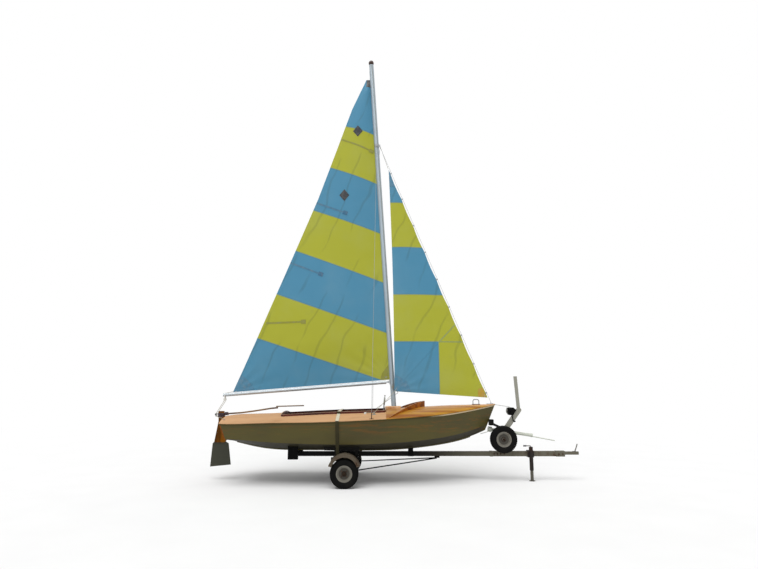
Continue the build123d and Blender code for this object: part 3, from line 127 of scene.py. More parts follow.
class Signal:
    """A shader value. Arithmetic on signals adds the Math nodes that work it out."""

    def __init__(self, graph: "Graph", socket: bpy.types.NodeSocket) -> None:
        """Wrap an output socket of the graph."""
        self.graph = graph
        self.socket = socket

    def _maths(self, operation: str, *values: "Signal | float") -> "Signal":
        """Add one Math node over the values."""
        return self.graph.node("ShaderNodeMath", {"operation": operation}, dict(enumerate(values)))

    def __add__(self, other: "Signal | float") -> "Signal":
        """Sum."""
        return self._maths("ADD", self, other)

    __radd__ = __add__

    def __sub__(self, other: "Signal | float") -> "Signal":
        """Difference."""
        return self._maths("SUBTRACT", self, other)

    def __rsub__(self, other: "Signal | float") -> "Signal":
        """Difference from a number."""
        return self._maths("SUBTRACT", other, self)

    def __mul__(self, other: "Signal | float") -> "Signal":
        """Product."""
        return self._maths("MULTIPLY", self, other)

    __rmul__ = __mul__

    def __abs__(self) -> "Signal":
        """The value without its sign."""
        return self._maths("ABSOLUTE", self)

    def wave(self) -> "Signal":
        """Sine of the value."""
        return self._maths("SINE", self)

    def root(self) -> "Signal":
        """Square root of the value."""
        return self._maths("SQRT", self)

    def lower_of(self, other: "Signal | float") -> "Signal":
        """The smaller of two values."""
        return self._maths("MINIMUM", self, other)

    def higher_of(self, other: "Signal | float") -> "Signal":
        """The larger of two values."""
        return self._maths("MAXIMUM", self, other)

    def ramp(self, low: float, high: float) -> "Signal":
        """Smooth step.

        Args:
            low: Value where the step starts at 0.
            high: Value where it reaches 1. It may be the smaller one.

        Returns:
            A mask from 0 to 1.
        """
        if low > high:
            return 1 - self.ramp(high, low)
        settings = {"interpolation_type": "SMOOTHSTEP"}
        return self.graph.node("ShaderNodeMapRange", settings, {"Value": self, 1: low, 2: high, 3: 0.0, 4: 1.0})


class Graph:
    """The node tree of one material."""

    def __init__(self, name: str) -> None:
        """Start a material with nothing but its output.

        Args:
            name: Name of the material.
        """
        self.material = bpy.data.materials.new(name)
        self.material.use_nodes = True
        self.tree = self.material.node_tree
        self.tree.nodes.clear()
        self.output = self.tree.nodes.new("ShaderNodeOutputMaterial")

    def node(self, kind: str, settings: dict | None = None, inputs: dict | None = None,
             output: int | str = 0) -> Signal:
        """Add a node.

        Args:
            kind: Type name of the node.
            settings: Properties, set before the inputs.
            inputs: Values or signals by the input's name or number.
            output: Name or number of the output wanted.

        Returns:
            The output as a signal.
        """
        made = self.tree.nodes.new(kind)
        for key, value in (settings or {}).items():
            setattr(made, key, value)
        for key, value in (inputs or {}).items():
            if isinstance(value, Signal):
                self.tree.links.new(value.socket, made.inputs[key])
            else:
                made.inputs[key].default_value = value
        return Signal(self, made.outputs[output])

    def place(self) -> Signal:
        """Object coordinates."""
        return self.node("ShaderNodeTexCoord", output="Object")

    def axes(self, vector: Signal | None = None) -> tuple[Signal, Signal, Signal]:
        """The x, y and z of a vector, or of the object coordinates.

        Args:
            vector: What is taken apart, or nothing for the object coordinates.

        Returns:
            Its three parts.
        """
        source = vector or self.place()
        parts = self.node("ShaderNodeSeparateXYZ", inputs={0: source}).socket.node
        return tuple(Signal(self, parts.outputs[number]) for number in range(3))

    def facing_up(self) -> Signal:
        """Upward part of the true normal, from -1 to 1."""
        return self.axes(self.node("ShaderNodeNewGeometry", output="True Normal"))[2]

    def uv(self) -> tuple[Signal, Signal, Signal]:
        """The piece's own UV map as two signals and a zero."""
        return self.axes(self.node("ShaderNodeTexCoord", output="UV"))

    def noise(self, scale: float, detail: float = 3.0, stretch: Sequence[float] = (1, 1, 1),
              shift: Sequence[float] = (0, 0, 0), rough: float = 0.55) -> Signal:
        """Cloudy noise.

        Args:
            scale: Features per metre.
            detail: Octaves.
            stretch: Factor on each axis. A small one draws the pattern out.
            shift: Where the pattern is moved to, so that two don't match.
            rough: Share of the fine octaves.

        Returns:
            Noise about 0.5.
        """
        vector = self.node("ShaderNodeMapping", inputs={"Vector": self.place(), "Location": shift, "Scale": stretch})
        inputs = {"Vector": vector, "Scale": scale, "Detail": detail, "Roughness": rough}
        return self.node("ShaderNodeTexNoise", inputs=inputs)

    def mix(self, share: "Signal | float", first: "Signal | str", second: "Signal | str") -> Signal:
        """Mix of two colours.

        Args:
            share: Share of the second one.
            first: Colour as a signal or as six hexadecimal digits.
            second: The other colour.

        Returns:
            The mixed colour.
        """
        first, second = (colour(tint) if isinstance(tint, str) else tint for tint in (first, second))
        return self.node("ShaderNodeMix", {"data_type": "RGBA"}, {0: share, 6: first, 7: second}, output=2)

    def bump(self, height: Signal, depth: float, strength: float = 1.0) -> Signal:
        """Surface relief.

        Args:
            height: Signal from 0 to 1.
            depth: Metres between 0 and 1.
            strength: Share of the relief that shows.

        Returns:
            A normal.
        """
        return self.node("ShaderNodeBump", inputs={"Height": height, "Distance": depth, "Strength": strength})

    def surface(self, **sockets: "Signal | float | tuple") -> bpy.types.Material:
        """Close the tree with a Principled shader.

        Args:
            sockets: Values by input name, with an underscore for a space.

        Returns:
            The material.
        """
        shader = self.node("ShaderNodeBsdfPrincipled", inputs={k.replace("_", " "): v for k, v in sockets.items()})
        self.tree.links.new(shader.socket, self.output.inputs["Surface"])
        return self.material


@dataclass(frozen=True)
class Finish:
    """A surface finish. Each kind works out its own shader in dress."""

    name: str
    base: str

    def material(self) -> bpy.types.Material:
        """The material, made once."""
        label = f"finish_{self.name}"
        return bpy.data.materials.get(label) or self.dress(Graph(label))

    def dress(self, graph: Graph) -> bpy.types.Material:
        """Build the shader."""
        raise NotImplementedError


def drawn_out(along: Axis, long: float, across: float) -> tuple[float, float, float]:
    """Stretch factors that draw a pattern out along one axis."""
    return tuple(long if axis is along else across for axis in Axis)


@dataclass(frozen=True)
class Varnish(Finish):
    """Varnished or weathered wood with its grain.

    Attributes:
        deep: Colour of the dark grain.
        bare: Colour where the varnish has gone.
        along: Direction of the grain.
        gloss: Coat that is left, from 0 to 1.
        wear: Share of the surface that has weathered, from 0 to 1.
        rough: Roughness of the coated wood.
        lit_top: Colour painted on the faces that look up to stand for light on them, or nothing where they are the
            same.
        shine: Specular level.
        crown: Colour of a faded band along the middle, or nothing.
    """

    deep: str = "5a2c0c"
    bare: str = "c9a27c"
    along: Axis = Axis.X
    gloss: float = 0.5
    wear: float = 0.2
    rough: float = 0.38
    lit_top: str = ""
    shine: float = 0.2
    crown: str = ""

    def dress(self, graph: Graph) -> bpy.types.Material:
        """Build the shader.

        Args:
            graph: Node tree of the new material.

        Returns:
            The material.
        """
        figure = graph.noise(7.0, 5.0, drawn_out(self.along, 0.16, 1.9))
        pores = graph.noise(60.0, 2.0, drawn_out(self.along, 0.05, 2.2), shift=(3.1, 0.4, 1.7))
        clouds = graph.noise(2.3, 4.0, drawn_out(self.along, 0.5, 1.0), shift=(7.0, 2.0, 5.0))
        streaks = graph.noise(9.0, 4.0, drawn_out(self.along, 0.25, 1.8), shift=(1.0, 9.0, 4.0))
        worn = (clouds * 0.65 + streaks * 0.35).ramp(0.66 - 0.42 * self.wear, 0.74 - 0.34 * self.wear)
        wood = graph.mix(figure.ramp(0.38, 0.66), self.base, self.deep)
        wood = graph.mix(pores.ramp(0.55, 0.78) * 0.35, wood, self.deep)
        shade = graph.mix(worn * 0.85, wood, graph.mix(pores.ramp(0.45, 0.8) * 0.45, self.bare, wood))
        if self.lit_top:
            # Painted light: faces that look up take the paler lit colour, the others keep the darker one.
            lit_top_share = graph.facing_up().ramp(0.45, 0.65)
            pale = graph.mix(figure.ramp(0.3, 0.7) * 0.4, self.lit_top, wood)
            shade = graph.mix(lit_top_share, shade, pale)
        if self.crown:
            middle = abs(graph.axes()[1] + (clouds - 0.5) * 0.06).ramp(0.16, 0.05)
            shade = graph.mix(middle * 0.7, shade, graph.mix(pores.ramp(0.4, 0.8) * 0.4, self.crown, shade))
        relief = graph.bump(figure * 0.4 + pores * 0.6, 0.0006, 0.5)
        return graph.surface(Base_Color=shade, Roughness=worn * 0.3 + self.rough + pores * 0.08 - 0.04,
                             Specular_IOR_Level=self.shine, Coat_Weight=(1 - worn) * self.gloss,
                             Coat_Roughness=0.2, Normal=relief)


@dataclass(frozen=True)
class HullPaint(Finish):
    """Old cream paint on plywood, rubbed through to varnish along the topsides, with painted shade on the underside.

    Attributes:
        rubbed: Colour that shows through the rubbed streaks.
        stain: Colour of the dull stains.
        bottom: Colour of the painted shade on the faces that look down.
    """

    rubbed: str = "b06a1c"
    stain: str = "5c5233"
    bottom: str = "4b4527"

    def dress(self, graph: Graph) -> bpy.types.Material:
        """Build the shader.

        Args:
            graph: Node tree of the new material.

        Returns:
            The material.
        """
        _, _, z = graph.axes()
        up = graph.facing_up()
        clouds = graph.noise(1.6, 5.0, (0.6, 1.0, 1.6))
        streaks = graph.noise(4.0, 6.0, (0.35, 1.0, 5.0), shift=(2.0, 0.0, 8.0), rough=0.65)
        fine = graph.noise(26.0, 4.0, (0.25, 1.0, 3.0), shift=(0.0, 5.0, 1.0))
        high = z.ramp(0.70, 0.82) * z.ramp(1.10, 0.95)
        rubbed = (streaks * 0.7 + fine * 0.3).ramp(0.49, 0.60) * high
        shade = graph.mix(clouds.ramp(0.35, 0.7) * 0.55, self.base, self.stain)
        shade = graph.mix(rubbed * 0.38, shade, self.rubbed)
        shade = graph.mix(fine.ramp(0.6, 0.8) * 0.35, shade, self.stain)
        # Painted shade: faces that look down turn to the dark underside colour.
        under = (0.0 - up).ramp(0.45, 0.75)
        shade = graph.mix(under * 0.9, shade, self.bottom)
        relief = graph.bump(clouds * 0.7 + fine * 0.3, 0.0012, 0.35)
        return graph.surface(Base_Color=shade, Roughness=rubbed * 0.12 + 0.46 + under * 0.2,
                             Specular_IOR_Level=0.25, Coat_Weight=0.05, Coat_Roughness=0.3, Normal=relief)


@dataclass(frozen=True)
class Metal(Finish):
    """Bare metal with fine drawing marks and spots of corrosion.

    Attributes:
        spot: Colour of the corrosion.
        amount: Share that has corroded, from 0 to 1.
        along: Direction of the drawing marks.
        rough: Roughness of the clean metal.
    """

    spot: str = "6b5a48"
    amount: float = 0.1
    along: Axis = Axis.Z
    rough: float = 0.34

    def dress(self, graph: Graph) -> bpy.types.Material:
        """Build the shader.

        Args:
            graph: Node tree of the new material.

        Returns:
            The material.
        """
        drawn = graph.noise(90.0, 2.0, drawn_out(self.along, 0.03, 3.0))
        patches = graph.noise(14.0, 6.0, drawn_out(self.along, 0.6, 1.3), shift=(4.0, 2.0, 6.0), rough=0.7)
        cloud = graph.noise(3.0, 3.0, drawn_out(self.along, 0.4, 1.0), shift=(8.0, 1.0, 3.0))
        dull = patches.ramp(0.72 - 0.4 * self.amount, 0.84 - 0.4 * self.amount)
        shade = graph.mix(cloud.ramp(0.3, 0.75) * 0.3, self.base, self.spot)
        shade = graph.mix(dull, shade, self.spot)
        return graph.surface(Base_Color=shade, Metallic=(1 - dull) * 0.45 + 0.1,
                             Roughness=drawn * 0.14 + dull * 0.4 + self.rough,
                             Normal=graph.bump(drawn * 0.5 + dull * 0.5, 0.0003, 0.5))


@dataclass(frozen=True)
class PaintedSteel(Finish):
    """Paint over steel that has chipped and rusted.

    Attributes:
        rust: Colour of the rust.
        amount: Share that has rusted, from 0 to 1.
        rough: Roughness of the paint.
        shine: Specular level.
    """

    rust: str = "5a3520"
    amount: float = 0.25
    rough: float = 0.45
    shine: float = 0.4

    def tone(self, graph: Graph) -> "Signal | str":
        """Colour of the paint under its rust."""
        return self.base

    def dress(self, graph: Graph) -> bpy.types.Material:
        """Build the shader.

        Args:
            graph: Node tree of the new material.

        Returns:
            The material.
        """
        blots = graph.noise(7.0, 7.0, (0.8, 1.0, 1.0), rough=0.68)
        runs = graph.noise(24.0, 4.0, (1.4, 1.4, 0.35), shift=(5.0, 3.0, 0.0))
        pits = graph.noise(120.0, 2.0, shift=(1.0, 6.0, 2.0))
        rusty = (blots * 0.7 + runs * 0.3).ramp(0.74 - 0.36 * self.amount, 0.8 - 0.34 * self.amount)
        halo = (blots * 0.7 + runs * 0.3).ramp(0.62 - 0.36 * self.amount, 0.78 - 0.34 * self.amount)
        shade = graph.mix(halo * 0.4, self.tone(graph), self.rust)
        shade = graph.mix(rusty, shade, graph.mix(pits.ramp(0.4, 0.7), self.rust, "2a1a12"))
        relief = graph.bump(rusty * 0.6 + pits * rusty * 0.4, 0.0006, 0.7)
        return graph.surface(Base_Color=shade, Roughness=rusty * 0.42 + self.rough + pits * 0.06,
                             Specular_IOR_Level=self.shine, Normal=relief)


@dataclass(frozen=True)
class FadingPaint(PaintedSteel):
    """Dark paint that gives way to a paler colour towards the bow.

    Attributes:
        front: Colour at the fore end.
        start: x where it begins to turn to the front colour.
        end: x where the front colour is reached.
    """

    front: str = "535044"
    start: float = 0.30
    end: float = 1.25

    def tone(self, graph: Graph) -> Signal:
        """Colour of the paint under its rust.

        Args:
            graph: Node tree of the new material.

        Returns:
            The colour.
        """
        blots = graph.noise(5.0, 5.0, rough=0.6) - 0.5
        share = (graph.axes()[0] + blots * 0.25).ramp(self.start, self.end)
        return graph.mix(share, self.base, self.front)


@dataclass(frozen=True)
class RimPaint(PaintedSteel):
    """Old paint on a wheel rim, rusted at the hub, with the disc inside its edge darkened as painted shade in the dish.

    Attributes:
        edge: Colour of the outer part.
        hub: Colour of the middle.
    """

    edge: str = "8f8c84"
    hub: str = "2f261d"

    def dress(self, graph: Graph) -> bpy.types.Material:
        """Build the shader.

        Args:
            graph: Node tree of the new material.

        Returns:
            The material.
        """
        x, _, z = graph.axes()
        near = None
        for centre in (WHEEL, SPARE):
            across, up = x - centre.x, z - centre.z
            reach = (across * across + up * up).root()
            near = near.lower_of(reach) if near else reach
        blots = graph.noise(22.0, 6.0, rough=0.68)
        pits = graph.noise(140.0, 2.0, shift=(1.0, 6.0, 2.0))
        rusty = blots.ramp(0.74 - 0.36 * self.amount, 0.82 - 0.34 * self.amount)
        middle = (near + (blots - 0.5) * 0.03).ramp(0.044, 0.030)
        # Painted shade: the disc inside the outer edge keeps the darker base, as the dish lies in shade.
        shade = graph.mix(near.ramp(0.074, 0.086), self.base, self.edge)
        shade = graph.mix(rusty * 0.8, shade, self.rust)
        shade = graph.mix(middle, shade, graph.mix(pits.ramp(0.4, 0.7) * 0.5, self.hub, self.rust))
        relief = graph.bump(rusty * 0.6 + pits * 0.4, 0.0006, 0.6)
        return graph.surface(Base_Color=shade, Roughness=rusty.higher_of(middle) * 0.3 + self.rough,
                             Specular_IOR_Level=self.shine, Normal=relief)


@dataclass(frozen=True)
class Rubber(Finish):
    """Black rubber, greyed by age and dust.

    Attributes:
        dust: Colour of the dust.
        amount: Share of dust, from 0 to 1.
    """

    dust: str = "5f5a4e"
    amount: float = 0.3

    def dress(self, graph: Graph) -> bpy.types.Material:
        """Build the shader.

        Args:
            graph: Node tree of the new material.

        Returns:
            The material.
        """
        clouds = graph.noise(9.0, 5.0, shift=(3.0, 1.0, 2.0))
        fine = graph.noise(240.0, 2.0)
        dusty = clouds.ramp(0.35, 0.85) * self.amount
        shade = graph.mix(dusty, self.base, self.dust)
        return graph.surface(Base_Color=shade, Roughness=clouds * 0.18 + 0.62, Specular_IOR_Level=0.1,
                             Normal=graph.bump(fine, 0.0004, 0.4))


@dataclass(frozen=True)
class Plastic(Finish):
    """Moulded plastic or stiff patch cloth, bleached a little by the sun.

    Attributes:
        rough: Roughness.
    """

    rough: float = 0.4

    def dress(self, graph: Graph) -> bpy.types.Material:
        """Build the shader.

        Args:
            graph: Node tree of the new material.

        Returns:
            The material.
        """
        bloom = graph.noise(18.0, 4.0).ramp(0.35, 0.75)
        fine = graph.noise(300.0, 2.0, shift=(2.0, 2.0, 2.0))
        shade = graph.mix(bloom * 0.25, self.base, "8c8a84")
        return graph.surface(Base_Color=shade, Roughness=bloom * 0.18 + self.rough,
                             Normal=graph.bump(fine, 0.0002, 0.3))


@dataclass(frozen=True)
class Weave(Finish):
    """Webbing, carpet or canvas with a plain weave on object coordinates.

    Attributes:
        pitch: Distance between threads.
        soil: Colour of the dirt in it.
        top: Colour painted on the faces that look up to stand for light on them, or nothing where they are the same.
    """

    pitch: float = 0.0022
    soil: str = "4a4436"
    top: str = ""

    def dress(self, graph: Graph) -> bpy.types.Material:
        """Build the shader.

        Args:
            graph: Node tree of the new material.

        Returns:
            The material.
        """
        x, y, z = graph.axes()
        turn = FULL_TURN / self.pitch
        threads = (x * turn).wave() * ((y + z) * turn).wave() * 0.5 + 0.5
        soiled = graph.noise(12.0, 5.0).ramp(0.35, 0.75)
        shade = graph.mix(soiled * 0.55, self.base, self.soil)
        if self.top:
            # Painted light: faces that look up turn to the lit top colour.
            facing = graph.facing_up()
            shade = graph.mix(facing.ramp(0.3, 0.6), shade, self.top)
        shade = graph.mix(threads * 0.25, shade, self.soil)
        return graph.surface(Base_Color=shade, Roughness=0.85, Specular_IOR_Level=0.2,
                             Normal=graph.bump(threads, 0.0006, 0.6))


@dataclass(frozen=True)
class RopeLay(Finish):
    """Rope whose strands follow the UV map along its length.

    Attributes:
        fleck: Colour of the marker yarn.
        turns: Strand crossings per metre.
    """

    fleck: str = "3b3a36"
    turns: float = 90.0

    def dress(self, graph: Graph) -> bpy.types.Material:
        """Build the shader.

        Args:
            graph: Node tree of the new material.

        Returns:
            The material.
        """
        around, length, _ = graph.uv()
        along, round_it = length * (FULL_TURN * self.turns), around * (FULL_TURN * 2)
        first, second = (along + round_it).wave(), (along - round_it).wave()
        strands = first.higher_of(second) * 0.5 + 0.5
        soiled = graph.noise(16.0, 4.0).ramp(0.35, 0.8)
        flecks = (first * second).ramp(0.55, 0.85)
        shade = graph.mix(flecks * 0.35, self.base, self.fleck)
        shade = graph.mix(soiled * 0.35, shade, "6d6657")
        return graph.surface(Base_Color=shade, Roughness=0.8, Normal=graph.bump(strands, 0.0012, 0.8))


@dataclass(frozen=True)
class SailCloth(Finish):
    """Crisp sailcloth in coloured panels, with the panels' seams and stitching, and painted shade along creases and
    long folds.

    Attributes:
        second: Colour of the other panels.
        edges: Lines between panels from the top down, each as x, z of its leech end and of its luff end.
        square: x of the upright edge of the lowest front panel, or None for a sail without one.
        seams: Further seams that join cloth of one colour, as lines like the edges.
        hem: Colour of the seams and of the doubled edges.
        SEAM: Half width of a seam.
        EDGE: Half width over which one colour turns to the other.
        STITCH: Length of a zigzag stitch.
        THREAD: Distance between the threads of the weave.
        LEAN: Lean of the long folds that are painted as shade lines, in radians.
        FOLD: Distance between the painted shade lines of the long folds.
    """

    second: str = "9fa130"
    edges: tuple[tuple[float, float, float, float], ...] = ()
    square: float | None = None
    seams: tuple[tuple[float, float, float, float], ...] = ()
    hem: str = "3c6f86"
    SEAM = 0.012
    EDGE = 0.001
    STITCH = 0.005
    THREAD = 0.0016
    LEAN = 0.40
    FOLD = 0.34

    @staticmethod
    def above(x: Signal, z: Signal, line: Sequence[float]) -> Signal:
        """Height of a point over a line.

        Args:
            x: Place along the boat.
            z: Height.
            line: x and z of the line's two ends.

        Returns:
            Distance from the line, negative below it.
        """
        x0, z0, x1, z1 = line
        slope = (z1 - z0) / (x1 - x0)
        return (z - x * slope - (z0 - slope * x0)) * (1 / math.hypot(1.0, slope))

    def panels(self, x: Signal, z: Signal) -> tuple[Signal, Signal]:
        """Panels and the seams between them.

        Args:
            x: Place along the boat.
            z: Height.

        Returns:
            A mask of the panels in the first colour, and the distance to the nearest seam.
        """
        heights = [self.above(x, z, line) for line in self.edges]
        mask = heights[0].ramp(-self.EDGE, self.EDGE)
        for upper, lower in zip(heights[1::2], heights[2::2]):
            mask = mask + upper.ramp(self.EDGE, -self.EDGE) * lower.ramp(-self.EDGE, self.EDGE)
        last = heights[-1].ramp(self.EDGE, -self.EDGE)
        lines = [*heights, *(self.above(x, z, line) for line in self.seams)]
        if self.square is not None:
            last = last * (x - self.square).ramp(self.EDGE, -self.EDGE)
            lines.append((x - self.square).higher_of(heights[-1]))
        near = abs(lines[0])
        for line in lines[1:]:
            near = near.lower_of(abs(line))
        return mask + last, near

    def dress(self, graph: Graph) -> bpy.types.Material:
        """Build the shader.

        Args:
            graph: Node tree of the new material.

        Returns:
            The material.
        """
        x, _, z = graph.axes()
        first_cloth, near = self.panels(x, z)
        seam = near.ramp(self.SEAM, self.SEAM * 0.7)
        stitch = abs(near - self.SEAM * 0.8).ramp(0.0028, 0.0010)
        zigzag = ((x + z * 0.7) * (FULL_TURN / self.STITCH)).wave() * 0.5 + 0.5
        crease = graph.noise(6.0, 6.0, (1.0, 1.0, 1.3), rough=0.6)
        soft = graph.noise(1.4, 3.0, shift=(4.0, 0.0, 1.0))
        drift = graph.noise(0.9, 2.0, shift=(2.0, 0.0, 0.7)) * 0.5
        some = graph.noise(1.1, 2.0, shift=(6.0, 0.0, 3.0)).ramp(0.44, 0.56)
        folds = (x * math.cos(self.LEAN) - z * math.sin(self.LEAN) + drift) * (FULL_TURN / self.FOLD)
        fold = folds.wave().ramp(0.90, 1.0) * some
        weave = (x * (FULL_TURN / self.THREAD)).wave() * (z * (FULL_TURN / self.THREAD)).wave()
        shade = graph.mix(first_cloth, self.second, self.base)
        faded = graph.mix(0.5, shade, "9fada6")
        shade = graph.mix(soft.ramp(0.4, 0.8) * 0.16, shade, faded)
        # Painted shade: the creases and the long folds are darkened in the colour.
        shade = graph.mix(crease.ramp(0.62, 0.78) * 0.12, shade, "5d6a5c")
        shade = graph.mix(fold * 0.20, shade, "33482f")
        shade = graph.mix(seam * 0.3, shade, self.hem)
        shade = graph.mix(stitch * zigzag * 0.5, shade, "2f4a55")
        height = crease * 0.5 - fold * 0.6 + seam * 0.3 + weave * 0.04 + stitch * zigzag * 0.1
        relief = graph.bump(height, 0.004, 0.35)
        return graph.surface(Base_Color=shade, Roughness=crease * 0.15 + 0.5, Specular_IOR_Level=0.25, Normal=relief)


# Colours of the sails, and the lines between their panels as x, z of the leech end and x, z of the luff end
BLUE = "447e9b"
YELLOW = "9c9e2c"
MAIN_EDGES = (
    (-0.807, 5.896, -0.344, 5.751), (-1.099, 5.149, -0.300, 4.855), (-1.369, 4.383, -0.242, 3.985),
    (-1.638, 3.672, -0.176, 3.134), (-1.927, 2.940, -0.126, 2.305), (-2.206, 2.207, -0.289, 1.570),
)
JIB_EDGES = (
    (-0.009, 4.516, 0.757, 4.516), (-0.012, 3.729, 0.743, 3.729), (-0.016, 2.930, 0.728, 2.930),
    (-0.019, 2.155, 0.714, 2.155),
)
JIB_SQUARE = 0.714
JIB_MITRE = ((0.057, 1.446, 0.993, 2.433),)

# Finishes of the boat and its trailer
# The hull's dark underside colour is painted shade.
HULL_PAINT = HullPaint("hull_cream_paint", "4e471d", rubbed="7a4a14", stain="3c3620", bottom="1f1b08")
TRANSOM_WOOD = Varnish("transom_varnish", "85480e", deep="522a0a", bare="96602c", along=Axis.Y, gloss=0.08, wear=0.15,
                       rough=0.5, shine=0.1)
FOREDECK = Varnish("foredeck_varnish", "b07e24", deep="8a5010", bare="b08a56", gloss=0.08, wear=0.10, rough=0.45,
                   crown="c7a082")
DECK_WOOD = Varnish("side_deck_weathered", "b98558", deep="8a5527", bare="c29b74", gloss=0.06, wear=0.8, rough=0.5)
# Painted light and shade: the coaming's dark base stands for shade on its sides, its pale top colour for light on the
# faces that look up.
COAMING_WOOD = Varnish("coaming_varnish", "561c0c", deep="2c0d05", bare="5e2c16", gloss=0.1, wear=0.15, lit_top="b08a62")
DARK_VARNISH = Varnish("dark_varnish", "43200f", deep="220e07", bare="5f3a20", gloss=0.4, wear=0.15)
ORANGE_VARNISH = Varnish("orange_varnish", "8c4812", deep="582609", bare="a0703a", gloss=0.5, wear=0.15, rough=0.3)
# Painted light: the splash boards' paler top colour stands for light on the faces that look up.
SPLASH_VARNISH = Varnish("splash_board_varnish", "a05c10", deep="6f3808", bare="a8692c", gloss=0.15, wear=0.12,
                         lit_top="b07a44", shine=0.1)
CABIN_VARNISH = Varnish("cockpit_varnish", "4f2f17", deep="2a160b", bare="6b4830", gloss=0.2, wear=0.3)
RUDDER_VARNISH = Varnish("rudder_varnish", "744608", deep="462805", bare="7c5420", along=Axis.Z, gloss=0.0, wear=0.15,
                         rough=0.6, shine=0.06)
TILLER_WOOD = Varnish("tiller_wood", "6a4a22", deep="3e2612", bare="826643", gloss=0.15, wear=0.45)
STEP_WOOD = Varnish("mast_step_wood", "cfa070", deep="ac7440", bare="d9bd9c", gloss=0.2, wear=0.5, along=Axis.Y)
RAIL_PAINT = FadingPaint("rub_rail_paint", "3d3719", rust="5d4a28", amount=0.2, rough=0.5, shine=0.15,
                         front="b4a283", start=0.45, end=0.85)
SPAR = Metal("spar_aluminium", "9da9b1", spot="848c90", amount=0.12, rough=0.4)
BOOM_ALLOY = Metal("boom_aluminium", "b3b9bd", spot="8c9294", amount=0.1, along=Axis.X, rough=0.36)
STAINLESS = Metal("stainless_fittings", "9a9fa2", spot="6c645a", amount=0.15, rough=0.3)
ZINC = Metal("dull_zinc", "6d6b64", spot="4a3a2c", amount=0.45, rough=0.5)
CHAINPLATE = Metal("taped_steel", "5d4127", spot="3c2414", amount=0.6, rough=0.55)
LEVER_METAL = Metal("lever_alloy", "8f918a", spot="6a665c", amount=0.3, rough=0.45)
BLADE_PAINT = PaintedSteel("blade_dull_alloy", "34352b", rust="454232", amount=0.3, rough=0.6, shine=0.25)
BLACK_STEEL = PaintedSteel("black_frame_paint", "060606", rust="20140d", amount=0.22, rough=0.65, shine=0.08)
# The spine's black aft part is painted shade under the hull; its grey fore part is the paint's own colour.
SHADED_SPINE_STEEL = FadingPaint("spine_paint", "060606", rust="33241a", amount=0.3, rough=0.6, shine=0.15)
JACK_STEEL = PaintedSteel("jack_dark_steel", "1f1c1a", rust="33231a", amount=0.45, rough=0.6, shine=0.2)
LEG_STEEL = PaintedSteel("jack_leg_steel", "504d44", rust="3a2a1e", amount=0.4, rough=0.55, shine=0.25)
GREY_STEEL = PaintedSteel("tongue_grey_paint", "5c594c", rust="43301f", amount=0.45, rough=0.6, shine=0.25)
POST_STEEL = PaintedSteel("post_grey_paint", "87867b", rust="5b4a3b", amount=0.3, rough=0.5)
FENDER_STEEL = PaintedSteel("fender_rusty_paint", "50483c", rust="3f2817", amount=0.5, rough=0.6, shine=0.2)
RIM_STEEL = RimPaint("rim_rusty_paint", "423f39", rust="3c291b", amount=0.42, rough=0.6, shine=0.2, edge="726f66",
                     hub="241c15")
RUST = PaintedSteel("rusty_steel", "4a3526", rust="33200f", amount=0.6, rough=0.6, shine=0.25)
HUB_RUST = PaintedSteel("rusty_hub", "2c2118", rust="1f150d", amount=0.5, rough=0.7, shine=0.1)
ARM_WHITE = PaintedSteel("arm_white_paint", "bcc0b4", rust="6c5a48", amount=0.2, rough=0.45)
TYRE_RUBBER = Rubber("tyre_rubber", "050505", dust="24221d", amount=0.32)
CHOCK_RUBBER = Rubber("chock_rubber", "0f0f0f", dust="2f2c26", amount=0.4)
BUNK_CARPET = Weave("bunk_carpet", "141415", pitch=0.004, soil="26231e")
# Painted light: the tie strap's upward faces take the pale lit colour, its other faces the dark base.
WEBBING = Weave("tie_webbing", "37331f", pitch=0.0025, soil="252214", top="cfc7b0")
STRAP_WEBBING = Weave("winch_webbing", "8d8c84", pitch=0.0025, soil="4a4840")
BLOCK_WHITE = Plastic("block_white_plastic", "cfcfc9")
BLACK_PLASTIC = Plastic("black_plastic", "1b1b1c")
TACK_CLOTH = Plastic("tack_patch_cloth", "a8871f", rough=0.6)
PATCH_BLUE = Plastic("corner_patch_cloth", "3b7390", rough=0.6)
# Darker than the sail's cloth: on the batten pockets and their end patches these tones are painted shade of the battens
# seen through the cloth.
SHADED_POCKET_BLUE = Plastic("pocket_blue_cloth", "346a86", rough=0.6)
POCKET_YELLOW = Plastic("pocket_yellow_cloth", "80811f", rough=0.6)
SHADED_POCKET_END_BLUE = Plastic("pocket_end_blue_cloth", "1f5a7a", rough=0.6)
MARK_CLOTH = Plastic("plain_mark_cloth", "10161f", rough=0.6)
SHEET_ROPE = RopeLay("sheet_rope", "a8a28c", fleck="6c6a5c", turns=160.0)
HALYARD_ROPE = RopeLay("halyard_rope", "9c9a8e", fleck="5a6068", turns=160.0)
LASHING_ROPE = RopeLay("lashing_rope", "3f333b", fleck="251c22", turns=120.0)
MAIN_CLOTH = SailCloth("mainsail_cloth", BLUE, YELLOW, MAIN_EDGES)
JIB_CLOTH = SailCloth("jib_cloth", BLUE, YELLOW, JIB_EDGES, JIB_SQUARE, JIB_MITRE)

